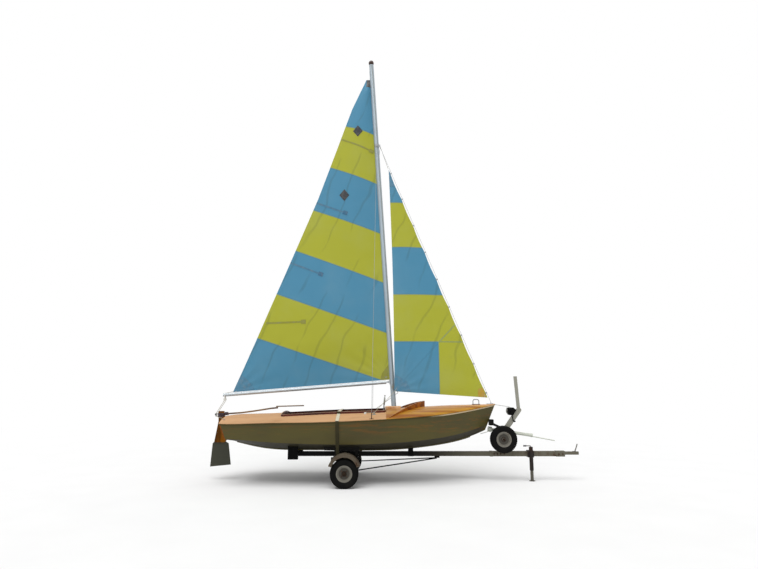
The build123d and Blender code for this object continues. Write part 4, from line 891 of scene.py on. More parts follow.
NODE_FINISHES: tuple[tuple[Finish, tuple[str, ...]], ...] = (
    (HULL_PAINT, ("hull", "keel_strip")),
    (TRANSOM_WOOD, ("transom",)),
    (FOREDECK, ("foredeck",)),
    (DECK_WOOD, ("side_deck",)),
    (COAMING_WOOD, ("coaming",)),
    (DARK_VARNISH, ("mast_ball",)),
    (CABIN_VARNISH, ("bulkheads", "floorboards")),
    (ORANGE_VARNISH, ("board_trunk", "centreboard")),
    (SPLASH_VARNISH, ("splash_boards",)),
    (RUDDER_VARNISH, ("rudder_head",)),
    (TILLER_WOOD, ("tiller", "tiller_extension")),
    (STEP_WOOD, ("mast_step",)),
    (RAIL_PAINT, ("rub_rails",)),
    (SPAR, ("mast",)),
    (BOOM_ALLOY, ("boom",)),
    (BLADE_PAINT, ("rudder_blade",)),
    (CHAINPLATE, ("chainplates",)),
    (STAINLESS, ("hounds", "shrouds", "forestay", "stem_fitting", "bow_hoop", "gooseneck", "gudgeons", "pintles",
                 "jib_hanks")),
    (ZINC, ("coupler_latch",)),
    (JACK_STEEL, ("jack_sleeve",)),
    (LEG_STEEL, ("jack_leg",)),
    (SHADED_SPINE_STEEL, ("spine",)),
    (BLACK_STEEL, ("trailer_frame", "axle", "springs", "braces", "keel_prop", "cradle", "winch")),
    (GREY_STEEL, ("tongue", "coupler")),
    (POST_STEEL, ("winch_post",)),
    (FENDER_STEEL, ("fender_port", "fender_starboard")),
    (RIM_STEEL, ("rim_port", "rim_starboard", "spare_rim")),
    (ARM_WHITE, ("bow_arm",)),
    (TYRE_RUBBER, ("tyre_port", "tyre_starboard", "spare_tyre")),
    (CHOCK_RUBBER, ("bow_chock",)),
    (BUNK_CARPET, ("bunks",)),
    (WEBBING, ("tie_strap",)),
    (BLOCK_WHITE, ("mainsheet_block",)),
)


def dress_frame() -> None:
    """Give every CAD node its finish."""
    for finish, names in NODE_FINISHES:
        for name in names:
            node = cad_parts[name]
            node.data.materials.clear()
            node.data.materials.append(finish.material())
            LOG.info("dressed %s in %s", name, finish.name)


class Bench:
    """Modelling by operators, and the steps that finish a piece."""

    @staticmethod
    def clear() -> None:
        """Leave edit mode and deselect everything."""
        if bpy.context.object and bpy.context.object.mode != "OBJECT":
            bpy.ops.object.mode_set(mode="OBJECT")
        bpy.ops.object.select_all(action="DESELECT")

    @staticmethod
    def only(piece: bpy.types.Object) -> None:
        """Select one object and make it active.

        Args:
            piece: The object.
        """
        Bench.clear()
        piece.select_set(True)
        bpy.context.view_layer.objects.active = piece

    @staticmethod
    def settle(piece: bpy.types.Object) -> bpy.types.Object:
        """Put the object's place, turn and size into its mesh.

        Args:
            piece: The object.

        Returns:
            The same object.
        """
        Bench.only(piece)
        bpy.ops.object.transform_apply(location=True, rotation=True, scale=True)
        return piece

    @staticmethod
    def pick(piece: bpy.types.Object, test: Callable[[Vector], bool]) -> None:
        """Select faces in edit mode by their middle.

        Args:
            piece: The active object, in edit mode.
            test: Says of a face's middle whether to select it.
        """
        mesh = bmesh.from_edit_mesh(piece.data)
        bpy.ops.mesh.select_all(action="DESELECT")
        for face in mesh.faces:
            if test(face.calc_center_median()):
                face.select_set(True)
        bmesh.update_edit_mesh(piece.data)

    @staticmethod
    def modify(piece: bpy.types.Object, kind: str, **settings: object) -> bpy.types.Object:
        """Add a modifier and apply it.

        Args:
            piece: The object.
            kind: Type name of the modifier.
            settings: Its properties.

        Returns:
            The same object.
        """
        Bench.only(piece)
        modifier = piece.modifiers.new(kind.lower(), kind)
        for key, value in settings.items():
            setattr(modifier, key, value)
        bpy.ops.object.modifier_apply(modifier=modifier.name)
        return piece

    @staticmethod
    def place(piece: bpy.types.Object, start: Vector, axis: Vector) -> bpy.types.Object:
        """Turn a piece modelled along +Z so that it starts at a point and runs along an axis.

        Args:
            piece: The piece, about the origin.
            start: Where it starts.
            axis: Its direction.

        Returns:
            The same piece.
        """
        turn = axis.to_track_quat("Z", "Y").to_matrix().to_4x4()
        piece.data.transform(Matrix.Translation(start) @ turn)
        return piece

    @staticmethod
    def block(low: Sequence[float], high: Sequence[float], bevel: float = 0.002) -> bpy.types.Object:
        """Box with rounded edges.

        Args:
            low: Its lowest corner.
            high: Its highest corner.
            bevel: Width of the rounding.

        Returns:
            The box.
        """
        Bench.clear()
        middle = [(a + b) / 2 for a, b in zip(low, high)]
        bpy.ops.mesh.primitive_cube_add(size=1.0, location=middle)
        piece = bpy.context.object
        piece.scale = [b - a for a, b in zip(low, high)]
        Bench.settle(piece)
        return Bench.modify(piece, "BEVEL", width=bevel, segments=2)

    @staticmethod
    def turned(profile: Sequence[tuple[float, float]], start: Vector, axis: Vector,
               steps: int = 24) -> bpy.types.Object:
        """Turned piece.

        Args:
            profile: Radius and distance along the axis, from one end to the other.
            start: Where the distance is 0.
            axis: Direction of the axis.
            steps: Faces round it.

        Returns:
            The closed piece.
        """
        Bench.clear()
        radius, height = profile[0]
        bpy.ops.mesh.primitive_circle_add(vertices=steps, radius=radius, fill_type="NGON", location=(0, 0, height))
        piece = Bench.settle(bpy.context.object)
        bpy.ops.object.mode_set(mode="EDIT")
        bpy.ops.mesh.select_all(action="SELECT")
        for wide, up in profile[1:]:
            bpy.ops.mesh.extrude_region_move(TRANSFORM_OT_translate={"value": (0, 0, up - height)})
            bpy.ops.transform.resize(value=(wide / radius, wide / radius, 1.0), center_override=(0, 0, up))
            radius, height = wide, up
        Bench.outwards()
        return Bench.place(piece, start, axis)

    @staticmethod
    def spun(profile: Sequence[tuple[float, float]], start: Vector, axis: Vector, steps: int = 32) -> bpy.types.Object:
        """Ring with a closed section.

        Args:
            profile: Radius and distance along the axis of the section's corners.
            start: Where the distance is 0.
            axis: Direction of the axis.
            steps: Faces round it.

        Returns:
            The ring.
        """
        Bench.clear()
        bpy.ops.mesh.primitive_circle_add(vertices=len(profile), radius=1.0)
        piece = bpy.context.object
        for vertex, (radius, up) in zip(piece.data.vertices, profile):
            vertex.co = (radius, 0.0, up)
        bpy.ops.object.mode_set(mode="EDIT")
        bpy.ops.mesh.select_all(action="SELECT")
        bpy.ops.mesh.spin(steps=steps, angle=FULL_TURN, center=(0, 0, 0), axis=(0, 0, 1))
        Bench.outwards()
        return Bench.place(piece, start, axis)

    @staticmethod
    def outwards() -> None:
        """Merge doubled points, turn the faces outwards and leave edit mode."""
        bpy.ops.mesh.select_all(action="SELECT")
        bpy.ops.mesh.remove_doubles(threshold=0.00001)
        bpy.ops.mesh.normals_make_consistent(inside=False)
        bpy.ops.object.mode_set(mode="OBJECT")

    @staticmethod
    def copy(piece: bpy.types.Object, matrix: Matrix) -> bpy.types.Object:
        """Copy a piece with its own mesh.

        Args:
            piece: What is copied.
            matrix: Where the copy goes.

        Returns:
            The copy.
        """
        twin = piece.copy()
        twin.data = piece.data.copy()
        twin.data.transform(matrix)
        bpy.context.scene.collection.objects.link(twin)
        return twin

    @staticmethod
    def finish(piece: bpy.types.Object, name: str, finish: Finish, slot: str, body: str = "root",
               angle: float = 35.0) -> bpy.types.Object:
        """Name a piece, dress it and let it ride.

        Args:
            piece: The object, in place.
            name: Its name.
            finish: Its finish.
            slot: The record's material slot; not used.
            body: The body that it moves with, or nothing for a piece that is left without one.
            angle: Largest angle between faces that are shaded as one.

        Returns:
            The piece.
        """
        Bench.settle(piece)
        bpy.ops.object.shade_smooth_by_angle(angle=math.radians(angle))
        piece.name = name
        piece.data.name = name
        piece.data.materials.clear()
        piece.data.materials.append(finish.material())
        if body:
            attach(piece, body)
        LOG.info("made %s: %d faces", name, len(piece.data.polygons))
        return piece


def mesh_piece(points: Sequence[Vector], faces: Sequence[Sequence[int]]) -> bpy.types.Object:
    """Object from points and faces, for cloth and ropes.

    Args:
        points: Its points.
        faces: Numbers of each face's points.

    Returns:
        The object, in the scene.
    """
    mesh = bpy.data.meshes.new("piece")
    mesh.from_pydata([tuple(point) for point in points], [], [tuple(face) for face in faces])
    mesh.update()
    piece = bpy.data.objects.new("piece", mesh)
    bpy.context.scene.collection.objects.link(piece)
    return piece


def net(columns: int, rows: int) -> list[tuple[int, int, int, int]]:
    """Faces over a grid of points that are listed row by row.

    Args:
        columns: Cells in a row.
        rows: Rows of cells.

    Returns:
        Numbers of each face's four points.
    """
    wide = columns + 1
    return [(j * wide + i, j * wide + i + 1, (j + 1) * wide + i + 1, (j + 1) * wide + i)
            for j in range(rows) for i in range(columns)]


def wire_ring(ring: float, wire: float) -> list[tuple[float, float]]:
    """Section of a ring of round wire, for Bench.spun."""
    angles = [number * math.pi / 4 for number in range(8)]
    return [(ring + wire * math.cos(angle), wire * math.sin(angle)) for angle in angles]


def touch(nodes: Sequence[str], start: Vector, heading: Vector) -> Vector:
    """First point of some CAD nodes that a ray meets.

    Args:
        nodes: Names of the nodes.
        start: Where the ray starts.
        heading: Its direction.

    Returns:
        The nearest point, or the start if it meets none.
    """
    hits = []
    for name in nodes:
        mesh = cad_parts[name].data
        tree = BVHTree.FromPolygons([v.co for v in mesh.vertices], [p.vertices for p in mesh.polygons])
        point = tree.ray_cast(start, heading)[0]
        if point is not None:
            hits.append(point)
    return min(hits, key=lambda point: (point - start).length, default=start)


def on_deck(x: float, y: float, up: float = 0.0) -> Vector:
    """Point over the deck at a place along and across the boat."""
    return touch(("side_deck", "foredeck"), Vector((x, y, 3.0)), -UP) + UP * up


def rounded(route: Sequence[Vector], step: float = 0.012) -> list[Vector]:
    """Smooth curve through the points of a route.

    Args:
        route: Points that the curve passes through.
        step: Distance between the points returned.

    Returns:
        Points along the curve.
    """
    ends = [route[0] * 2 - route[1], *route, route[-1] * 2 - route[-2]]
    points = []
    for before, start, end, after in zip(ends, ends[1:], ends[2:], ends[3:]):
        count = max(2, round((end - start).length / step))
        for number in range(count):
            t = number / count
            bend = (before * 2 - start * 5 + end * 4 - after) * t * t + (start * 3 - before - end * 3 + after) * t ** 3
            points.append(start + ((end - before) * t + bend) * 0.5)
    return points + [route[-1]]


def winding(centre: Vector, axis: Vector, across: Vector, size: tuple[float, float], turns: float,
            pitch: float) -> list[Vector]:
    """Route that winds round an axis.

    Args:
        centre: Middle of the first turn.
        axis: Direction in which the turns follow each other.
        across: Direction of the turns' first half width.
        size: Half widths of a turn.
        turns: How many there are.
        pitch: Distance between them.

    Returns:
        Points along the winding.
    """
    second = axis.cross(across)
    points = []
    for number in range(round(turns * 16) + 1):
        angle = number * math.pi / 8
        wobble = 1 + 0.05 * math.sin(angle * 0.37)
        points.append(centre + axis * (pitch * angle / FULL_TURN) + across * (size[0] * wobble * math.cos(angle))
                      + second * (size[1] * wobble * math.sin(angle)))
    return points


def rope(route: Sequence[Vector], radius: float, sides: int = 8) -> bpy.types.Object:
    """Rope or bent rod along a route, with a UV map round it and along it.

    Args:
        route: Points along its middle.
        radius: Its radius.
        sides: Faces round it.

    Returns:
        The piece, closed at both ends.
    """
    points, lengths = [], [0.0]
    across = (route[1] - route[0]).orthogonal().normalized()
    for number, point in enumerate(route):
        ahead = (route[min(number + 1, len(route) - 1)] - route[max(number - 1, 0)]).normalized()
        across = (across - ahead * across.dot(ahead)).normalized()
        rise = ahead.cross(across)
        for side in range(sides):
            angle = FULL_TURN * side / sides
            points.append(point + (across * math.cos(angle) + rise * math.sin(angle)) * radius)
        if number:
            lengths.append(lengths[-1] + (point - route[number - 1]).length)
    cells = [(ring, side) for ring in range(len(route) - 1) for side in range(sides)]
    faces = [(ring * sides + side, ring * sides + (side + 1) % sides,
              (ring + 1) * sides + (side + 1) % sides, (ring + 1) * sides + side) for ring, side in cells]
    faces += [tuple(reversed(range(sides))), tuple(range(len(points) - sides, len(points)))]
    piece = mesh_piece(points, faces)
    layer = piece.data.uv_layers.new(name="along")
    for (ring, side), face in zip(cells, piece.data.polygons):
        corners = ((side, ring), (side + 1, ring), (side + 1, ring + 1), (side, ring + 1))
        for loop, (round_it, row) in zip(face.loop_indices, corners):
            layer.data[loop].uv = (round_it / sides, lengths[row])
    return piece


def along_route(route: Sequence[Vector], share: float) -> Vector:
    """Point on a polyline.

    Args:
        route: Its points.
        share: Share of its length, from 0 to 1.

    Returns:
        The point.
    """
    lengths = [(b - a).length for a, b in zip(route, route[1:])]
    left = share * sum(lengths)
    for start, end, length in zip(route, route[1:], lengths):
        if left <= length:
            return start.lerp(end, left / length)
        left -= length
    return route[-1]


def smooth(low: float, high: float, value: float) -> float:
    """Smooth step between two values."""
    share = min(1.0, max(0.0, (value - low) / (high - low)))
    return share * share * (3 - 2 * share)


@dataclass
class Sail:
    """Shape shared by both sails: a grid between a luff and a leech, filled by a light breeze.

    Attributes:
        columns: Cells from leech to luff.
        rows: Cells from foot to head.
        belly: Depth of the sail's fullness.
        thick: Thickness that the cloth is shown with.
        sewn_thick: Thickness of what is sewn to it.
        EYE: Radius and distance along the axis of an eyelet's section.
    """

    columns: int = 110
    rows: int = 210
    belly: float = 0.05
    thick: float = 0.0016
    sewn_thick: float = 0.0012
    EYE = ((0.010, -0.004), (0.017, -0.004), (0.0185, 0.0), (0.017, 0.004), (0.010, 0.004), (0.0085, 0.0))

    def luff(self, up: float) -> Vector:
        """Point of the luff at a share of its length."""
        raise NotImplementedError

    def leech(self, up: float) -> Vector:
        """Point of the leech at a share of its length."""
        raise NotImplementedError

    def fullness(self, across: float, up: float, point: Vector) -> float:
        """Distance of the cloth from the flat, to port."""
        raise NotImplementedError

    def point(self, across: float, up: float) -> Vector:
        """Point of the finished cloth at shares across and up."""
        flat = self.leech(up).lerp(self.luff(up), across)
        return flat + Vector((0.0, self.fullness(across, up, flat), 0.0))

    def grid(self) -> bpy.types.Object:
        """The cloth as a mesh.

        Returns:
            The cloth with its thickness.
        """
        points = [self.point(i / self.columns, j / self.rows)
                  for j in range(self.rows + 1) for i in range(self.columns + 1)]
        cloth = mesh_piece(points, net(self.columns, self.rows))
        return Bench.modify(cloth, "SOLIDIFY", thickness=self.thick, offset=0.0)

    def on_cloth(self, x: float, z: float, off: float) -> Vector:
        """Point on the cloth over x and z.

        Args:
            x: Place along the boat.
            z: Height.
            off: Distance to port of the cloth.

        Returns:
            The point.
        """
        low, high = 0.0, 1.0
        for _ in range(24):
            middle = (low + high) / 2
            leech, luff = self.leech(middle), self.luff(middle)
            across = min(1.0, max(0.0, (x - leech.x) / (luff.x - leech.x)))
            if leech.z + (luff.z - leech.z) * across < z:
                low = middle
            else:
                high = middle
        return self.point(across, (low + high) / 2) + Vector((0.0, off, 0.0))

    def patch(self, outline: Sequence[tuple[float, float]], off: float, cells: tuple[int, int]) -> bpy.types.Object:
        """Four-sided patch of cloth that lies on the sail.

        Args:
            outline: Its four corners as x and z.
            off: Distance to port of the cloth, negative on the starboard side.
            cells: Cells along its first and its second side.

        Returns:
            The patch as a thin mesh.
        """
        a, b, c, d = (Vector((x, 0.0, z)) for x, z in outline)
        points = []
        along, beside = cells
        for j in range(beside + 1):
            for i in range(along + 1):
                flat = a.lerp(b, i / along).lerp(d.lerp(c, i / along), j / beside)
                points.append(self.on_cloth(flat.x, flat.z, off))
        return Bench.modify(mesh_piece(points, net(along, beside)), "SOLIDIFY", thickness=self.sewn_thick, offset=0.0)

    def both_sides(self, name: str, outline: Sequence[tuple[float, float]], finish: Finish, slot: str,
                   cells: tuple[int, int] = (26, 26), off: float = 0.0036) -> list[bpy.types.Object]:
        """Patches of one outline on both sides of the cloth, made without a body.

        Args:
            name: What their names begin with.
            outline: Four corners as x and z.
            finish: Their finish.
            slot: The record's material slot.
            cells: Cells along the first and the second side.
            off: Distance from the middle of the cloth.

        Returns:
            The port patch and the starboard one.
        """
        return [Bench.finish(self.patch(outline, off * side.value, cells), f"{name}_{side.label}", finish, slot, "")
                for side in Side]

    def eye(self, name: str, x: float, z: float) -> bpy.types.Object:
        """Eyelet through the cloth, made without a body."""
        return Bench.finish(Bench.spun(self.EYE, self.on_cloth(x, z, 0.0), TO_PORT), name, STAINLESS, "stainless", "")


@dataclass
class Mainsail(Sail):
    """The mainsail with its batten pockets, patches and eyes.

    Attributes:
        clew: Its x and z.
        leech_points: Points of the leech from the clew up, as x and z.
        head_wide: Width at the head.
        battens: x and z of each batten's leech end and luff end, from the top down.
        pocket: Half width of a batten pocket.
        marks: Middles of the plain marks.
    """

    clew: tuple[float, float] = (-2.590, 1.352)
    leech_points: tuple[tuple[float, float], ...] = ((-2.241, 2.187), (-1.906, 3.014), (-1.282, 4.569), (-0.717, 6.216))
    head_wide: float = 0.042
    battens: tuple[tuple[float, float, float, float], ...] = (
        (-0.905, 5.660, -0.385, 5.440), (-1.330, 4.515, -0.825, 4.325),
        (-1.735, 3.475, -1.220, 3.275), (-2.090, 2.460, -1.490, 2.480),
    )
    pocket: float = 0.015
    marks: tuple[tuple[float, float], ...] = ((-0.613, 5.795), (-0.835, 4.635))

    def luff(self, up: float) -> Vector:
        """Point of the luff, in the mast's groove."""
        return mast_point(MAIN_TACK_UP + up * (MAIN_HEAD_UP - MAIN_TACK_UP), MAST_FORE_AFT / 2 + 0.001)

    def leech(self, up: float) -> Vector:
        """Point of the leech.

        Args:
            up: Share of its length, from the clew.

        Returns:
            The point on the flat sail.
        """
        head = mast_point(MAIN_HEAD_UP, LUFF_BACK) - Vector((self.head_wide, 0.0, 0.0))
        route = [Vector((self.clew[0], 0.0, self.clew[1]))]
        route += [Vector((x, 0.0, z)) for x, z in self.leech_points] + [head]
        return along_route(route, up)

    def fullness(self, across: float, up: float, point: Vector) -> float:
        """Belly to starboard, with creases at the corners and along the luff.

        Args:
            across: Share from leech to luff.
            up: Share from foot to head.
            point: Point of the flat sail there.

        Returns:
            How far the cloth is to port of that point.
        """
        held = smooth(0.0, 0.14, up) * smooth(0.0, 0.05, 1 - up)
        curve = math.sin(math.pi * (across ** 1.25)) ** 0.9
        twist = (1 - across) * math.sin(math.pi * up) * 0.5
        creases = 0.0
        for corner, reach, folds in ((self.luff(0.0), 0.55, 11.0), (self.leech(0.0), 0.45, 8.0)):
            away = point - corner
            angle = math.atan2(away.z, abs(away.x) + 1e-6)
            fades = math.exp(-away.length / reach) * smooth(0.08, 0.40, away.length)
            creases += 0.007 * math.sin(folds * angle * 2.0) * fades
        luff_ripple = 0.0028 * math.exp(-(1 - across) / 0.09) * math.sin(up * 95.0)
        drift = noise.noise(Vector((point.x * 1.3, 0.0, point.z * 0.9))) * 0.014
        pucker = noise.noise(Vector((point.x * 7.0, 3.0, point.z * 5.0))) * 0.0022
        edge = smooth(0.0, 0.02, 1 - across) * smooth(0.0, 0.012, up)
        return -(self.belly * (curve + twist) * held + (drift * held + creases + luff_ripple + pucker) * edge)

    def swing(self, piece: bpy.types.Object) -> None:
        """Put the piece's place into its mesh; the two mast points are worked out and not used."""
        mast_point(0.5, LUFF_BACK + 0.05)
        mast_point(0.5, MAST_FORE_AFT / 2)
        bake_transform(piece)

    def batten(self, number: int) -> list[bpy.types.Object]:
        """Pocket of a batten and the patch at its luff end, on both sides, in tones darker than the sail as painted
        shade of the batten seen through the cloth.

        Args:
            number: Its number from the top.

        Returns:
            The pockets, port first, and then the patches.
        """
        leech_x, leech_z, luff_x, luff_z = self.battens[number]
        start, end = Vector((leech_x, leech_z)), Vector((luff_x, luff_z))
        run = (end - start).normalized()
        off = Vector((-run.y, run.x)) * self.pocket
        in_yellow = number in (0, len(self.battens) - 1)
        outline = [tuple(corner) for corner in (start - off, end - off, end + off, start + off)]
        pockets = self.both_sides(f"batten_pocket_{number}", outline, POCKET_YELLOW if in_yellow else SHADED_POCKET_BLUE,
                                  "batten_plastic", (40, 3), 0.0030)
        aft, fore, half = end - run * 0.03, end + run * 0.05, off * 2.3
        outline = [tuple(corner) for corner in (aft - half, fore - half, fore + half, aft + half)]
        return pockets + self.both_sides(f"batten_patch_{number}", outline, POCKET_YELLOW if in_yellow else SHADED_POCKET_END_BLUE,
                                         "sail_cloth", (8, 8), 0.0042)

    def build(self) -> None:
        """Make the sail and what is sewn to it."""
        cloth = Bench.finish(self.grid(), "mainsail_cloth", MAIN_CLOTH, "sail_cloth", "")
        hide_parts("mainsail")
        sewn = [piece for number in range(len(self.battens)) for piece in self.batten(number)]
        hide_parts("battens")
        for name, outline, finish, slot in self.corners():
            sewn += self.both_sides(name, outline, finish, slot)
        sewn += [self.eye("main_clew_eye", -2.545, 1.372), self.eye("main_tack_eye", -0.135, 1.60)]
        for piece in [cloth, *sewn]:
            self.swing(piece)

    def corners(self) -> list[tuple[str, list[tuple[float, float]], Finish, str]]:
        """Patches at the corners and the plain marks.

        Returns:
            Name, outline, finish and slot of each.
        """
        head, tack = self.luff(1.0), self.luff(0.0)
        rise = (head - tack).normalized()
        low, up_luff = head - rise * 0.15, tack + rise * 0.24
        board = [(low.x - 0.075, low.z), (low.x - 0.004, low.z), (head.x - 0.004, head.z - 0.004),
                 (head.x - 0.060, head.z - 0.004)]
        tack_patch = [(tack.x - 0.150, tack.z - 0.006), (tack.x - 0.006, tack.z + 0.006),
                      (up_luff.x - 0.006, up_luff.z), (tack.x - 0.125, tack.z + 0.10)]
        clew_patch = [(-2.575, 1.366), (-2.24, 1.394), (-2.33, 1.52), (-2.475, 1.63)]
        found = [("head_board", board, BLACK_PLASTIC, "block_plastic"),
                 ("main_tack_patch", tack_patch, POCKET_YELLOW, "sail_cloth"),
                 ("main_clew_patch", clew_patch, PATCH_BLUE, "sail_cloth")]
        for number, (x, z) in enumerate(self.marks):
            mark = [(x, z - 0.105), (x + 0.085, z), (x, z + 0.105), (x - 0.085, z)]
            found.append((f"plain_mark_{number}", mark, MARK_CLOTH, "sail_cloth"))
        return found


@dataclass
class Jib(Sail):
    """The jib, hanked to the forestay and sheeted to starboard.

    Attributes:
        hanks: How many hanks hold its luff.
    """

    columns: int = 80
    rows: int = 160
    belly: float = 0.045
    hanks: int = 9

    def luff(self, up: float) -> Vector:
        """Point of the luff, which draws in a little between the hanks.

        Args:
            up: Share of its length, from the tack.

        Returns:
            The point on the flat sail.
        """
        point = JIB_TACK.lerp(JIB_HEAD, up)
        scallop = abs(math.sin(math.pi * (up * (self.hanks - 0.7) - 0.15)))
        return point - Vector((0.9, 0.0, 0.35)) * 0.012 * scallop * smooth(0.0, 0.03, 1 - up)

    def leech(self, up: float) -> Vector:
        """Point of the leech, slightly hollow."""
        point = JIB_CLEW.lerp(JIB_HEAD, up)
        return point + Vector((0.02, 0.0, 0.0)) * math.sin(math.pi * up)

    def fullness(self, across: float, up: float, point: Vector) -> float:
        """Belly to starboard and creases from the clew.

        Args:
            across: Share from leech to luff.
            up: Share from foot to head.
            point: Point of the flat sail there.

        Returns:
            How far the cloth is to port of that point.
        """
        curve = math.sin(math.pi * across ** 0.9) * (1 - up) ** 0.55
        fold = point - JIB_CLEW
        angle = math.atan2(fold.z, fold.x + 1e-6)
        creases = 0.005 * math.exp(-fold.length / 0.5) * math.sin(18 * angle) * smooth(0.08, 0.35, fold.length)
        ripple = 0.003 * math.exp(-(1 - across) / 0.08) * math.sin(up * (self.hanks - 0.7) * 2 * math.pi)
        drift = noise.noise(Vector((point.x * 1.6, 5.0, point.z))) * 0.012
        pucker = noise.noise(Vector((point.x * 8.0, 9.0, point.z * 6.0))) * 0.002
        edge = smooth(0.0, 0.03, 1 - across)
        return -(self.belly * curve + (drift + creases + ripple + pucker) * edge)

    def build(self) -> None:
        """Make the sail and what is sewn to it."""
        cloth = Bench.finish(self.grid(), "jib_cloth", JIB_CLOTH, "sail_cloth")
        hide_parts("jib")
        sewn = []
        for name, outline, finish in (
            ("jib_tack_patch", [(1.335, 1.284), (1.470, 1.273), (1.418, 1.420), (1.345, 1.405)], TACK_CLOTH),
            ("jib_clew_patch", [(0.012, 1.372), (0.26, 1.365), (0.20, 1.520), (0.010, 1.640)], PATCH_BLUE),
            ("jib_head_patch", [(-0.066, 4.800), (0.020, 4.800), (-0.070, 5.080), (-0.078, 5.080)], PATCH_BLUE),
        ):
            sewn += self.both_sides(name, outline, finish, "sail_cloth")
        sewn += [self.eye("jib_clew_eye", 0.030, 1.392), self.eye("jib_tack_eye", 1.440, 1.295)]
        for piece in sewn:
            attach(piece, "root")


@dataclass
class RoadWheels:
    """Tyres with tread, hub caps, nuts and valves on the two road wheels and the spare.

    Attributes:
        section: Radius and half width of the tyre from the bead to the middle of the tread.
        steps: Faces round a tyre.
        notch: Depth of the notches in its shoulders.
        nut_circle: Radius of the circle of wheel nuts.
    """

    section: tuple[tuple[float, float], ...] = (
        (0.1035, 0.041), (0.1185, 0.0415), (0.1195, 0.048), (0.124, 0.0525), (0.130, 0.0540), (0.133, 0.0555),
        (0.150, 0.0590), (0.166, 0.0600), (0.182, 0.0590), (0.193, 0.0565), (0.199, 0.0535), (0.2045, 0.0490),
        (TYRE_RADIUS, 0.0465), (TYRE_RADIUS, 0.0300), (0.2010, 0.0285), (0.2010, 0.0245), (TYRE_RADIUS, 0.0230),
        (TYRE_RADIUS, 0.0045), (0.2010, 0.0030),
    )
    steps: int = 96
    notch: float = 0.005
    nut_circle: float = 0.0508

    def tyre(self) -> bpy.types.Object:
        """Tyre about the origin, with its axis along Y.

        Returns:
            The tyre with its tread.
        """
        profile = [*self.section, *((radius, -half) for radius, half in reversed(self.section))]
        piece = Bench.spun(profile, Vector(), TO_PORT, self.steps)
        Bench.only(piece)
        bpy.ops.object.mode_set(mode="EDIT")
        bpy.ops.mesh.select_mode(type="FACE")

        def shoulder(middle: Vector) -> bool:
            """Whether a face is one of every second ones on the shoulders.

            Args:
                middle: Middle of the face.

            Returns:
                Whether it is part of a notch.
            """
            turn = math.atan2(middle.z, middle.x) % FULL_TURN
            number = int(turn / FULL_TURN * self.steps)
            return math.hypot(middle.x, middle.z) > 0.1995 and 0.0300 < abs(middle.y) < 0.0535 and number % 2 == 0

        Bench.pick(piece, shoulder)
        bpy.ops.mesh.extrude_region_shrink_fatten(TRANSFORM_OT_shrink_fatten={"value": -self.notch})
        bpy.ops.object.mode_set(mode="OBJECT")
        return piece

    def hub(self, name: str, centre: Vector, out: float, body: str) -> None:
        """Dust cap and four nuts of a wheel that turns on the axle.

        Args:
            name: What the names of its pieces begin with.
            centre: Middle of the wheel.
            out: Sign of y of its outer side.
            body: Body of the wheel.
        """
        axis = TO_PORT * out
        cap = Bench.turned(((0.025, 0.0), (0.025, 0.007), (0.0235, 0.009), (0.022, 0.014), (0.012, 0.018)),
                           centre + axis * 0.040, axis)
        Bench.finish(cap, f"{name}_dust_cap", HUB_RUST, "white_steel", body)
        for number in range(4):
            angle = math.radians(45 + 90 * number)
            foot = centre + axis * 0.020 + Vector((math.cos(angle), 0.0, math.sin(angle))) * self.nut_circle
            nut = Bench.turned(((0.0105, 0.0), (0.0105, 0.008), (0.008, 0.0105), (0.005, 0.011), (0.005, 0.017)), foot,
                               axis, 6)
            Bench.finish(nut, f"{name}_nut_{number}", RUST, "white_steel", body)

    def valve(self, name: str, centre: Vector, out: float, body: str) -> None:
        """Valve stem through a rim.

        Args:
            name: What the name begins with.
            centre: Middle of the wheel.
            out: Sign of y of its outer side.
            body: Body of the wheel.
        """
        stem = Bench.turned(((0.004, 0.0), (0.0032, 0.004), (0.0032, 0.018), (0.0042, 0.019), (0.0042, 0.026)),
                            centre + Vector((0.0, out * 0.018, 0.082)), TO_PORT * out, 12)
        Bench.finish(stem, f"{name}_valve", BLACK_PLASTIC, "tyre_rubber", body)

    def spare_nut(self) -> None:
        """Nut that holds the spare wheel to its post."""
        face = touch(("spare_rim", "winch_post", "tongue", "spine", "cradle"), SPARE - TO_PORT * 0.5, TO_PORT)
        nut = Bench.turned(((0.024, -0.004), (0.024, 0.002), (0.017, 0.003), (0.017, 0.013), (0.014, 0.016)), face,
                           -TO_PORT, 6)
        Bench.finish(nut, "spare_wheel_nut", HUB_RUST, "white_steel")

    def build(self) -> None:
        """Make the three wheels' pieces."""
        pattern = self.tyre()
        port, starboard = WHEEL, Vector((WHEEL.x, -WHEEL.y, WHEEL.z))
        for label, name, node, centre, out, body in (
            ("port_tyre", "port_wheel", "tyre_port", port, 1.0, "wheel_port"),
            ("starboard_tyre", "starboard_wheel", "tyre_starboard", starboard, -1.0, "wheel_starboard"),
            ("spare_wheel_tyre", "spare_wheel", "spare_tyre", SPARE, -1.0, "root"),
        ):
            tyre = Bench.copy(pattern, Matrix.Translation(centre))
            Bench.finish(tyre, label, TYRE_RUBBER, "tyre_rubber", body, angle=40)
            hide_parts(node)
            self.valve(name, centre, out, body)
            if body != "root":
                self.hub(name, centre, out, body)
        bpy.data.objects.remove(pattern)
        self.spare_nut()


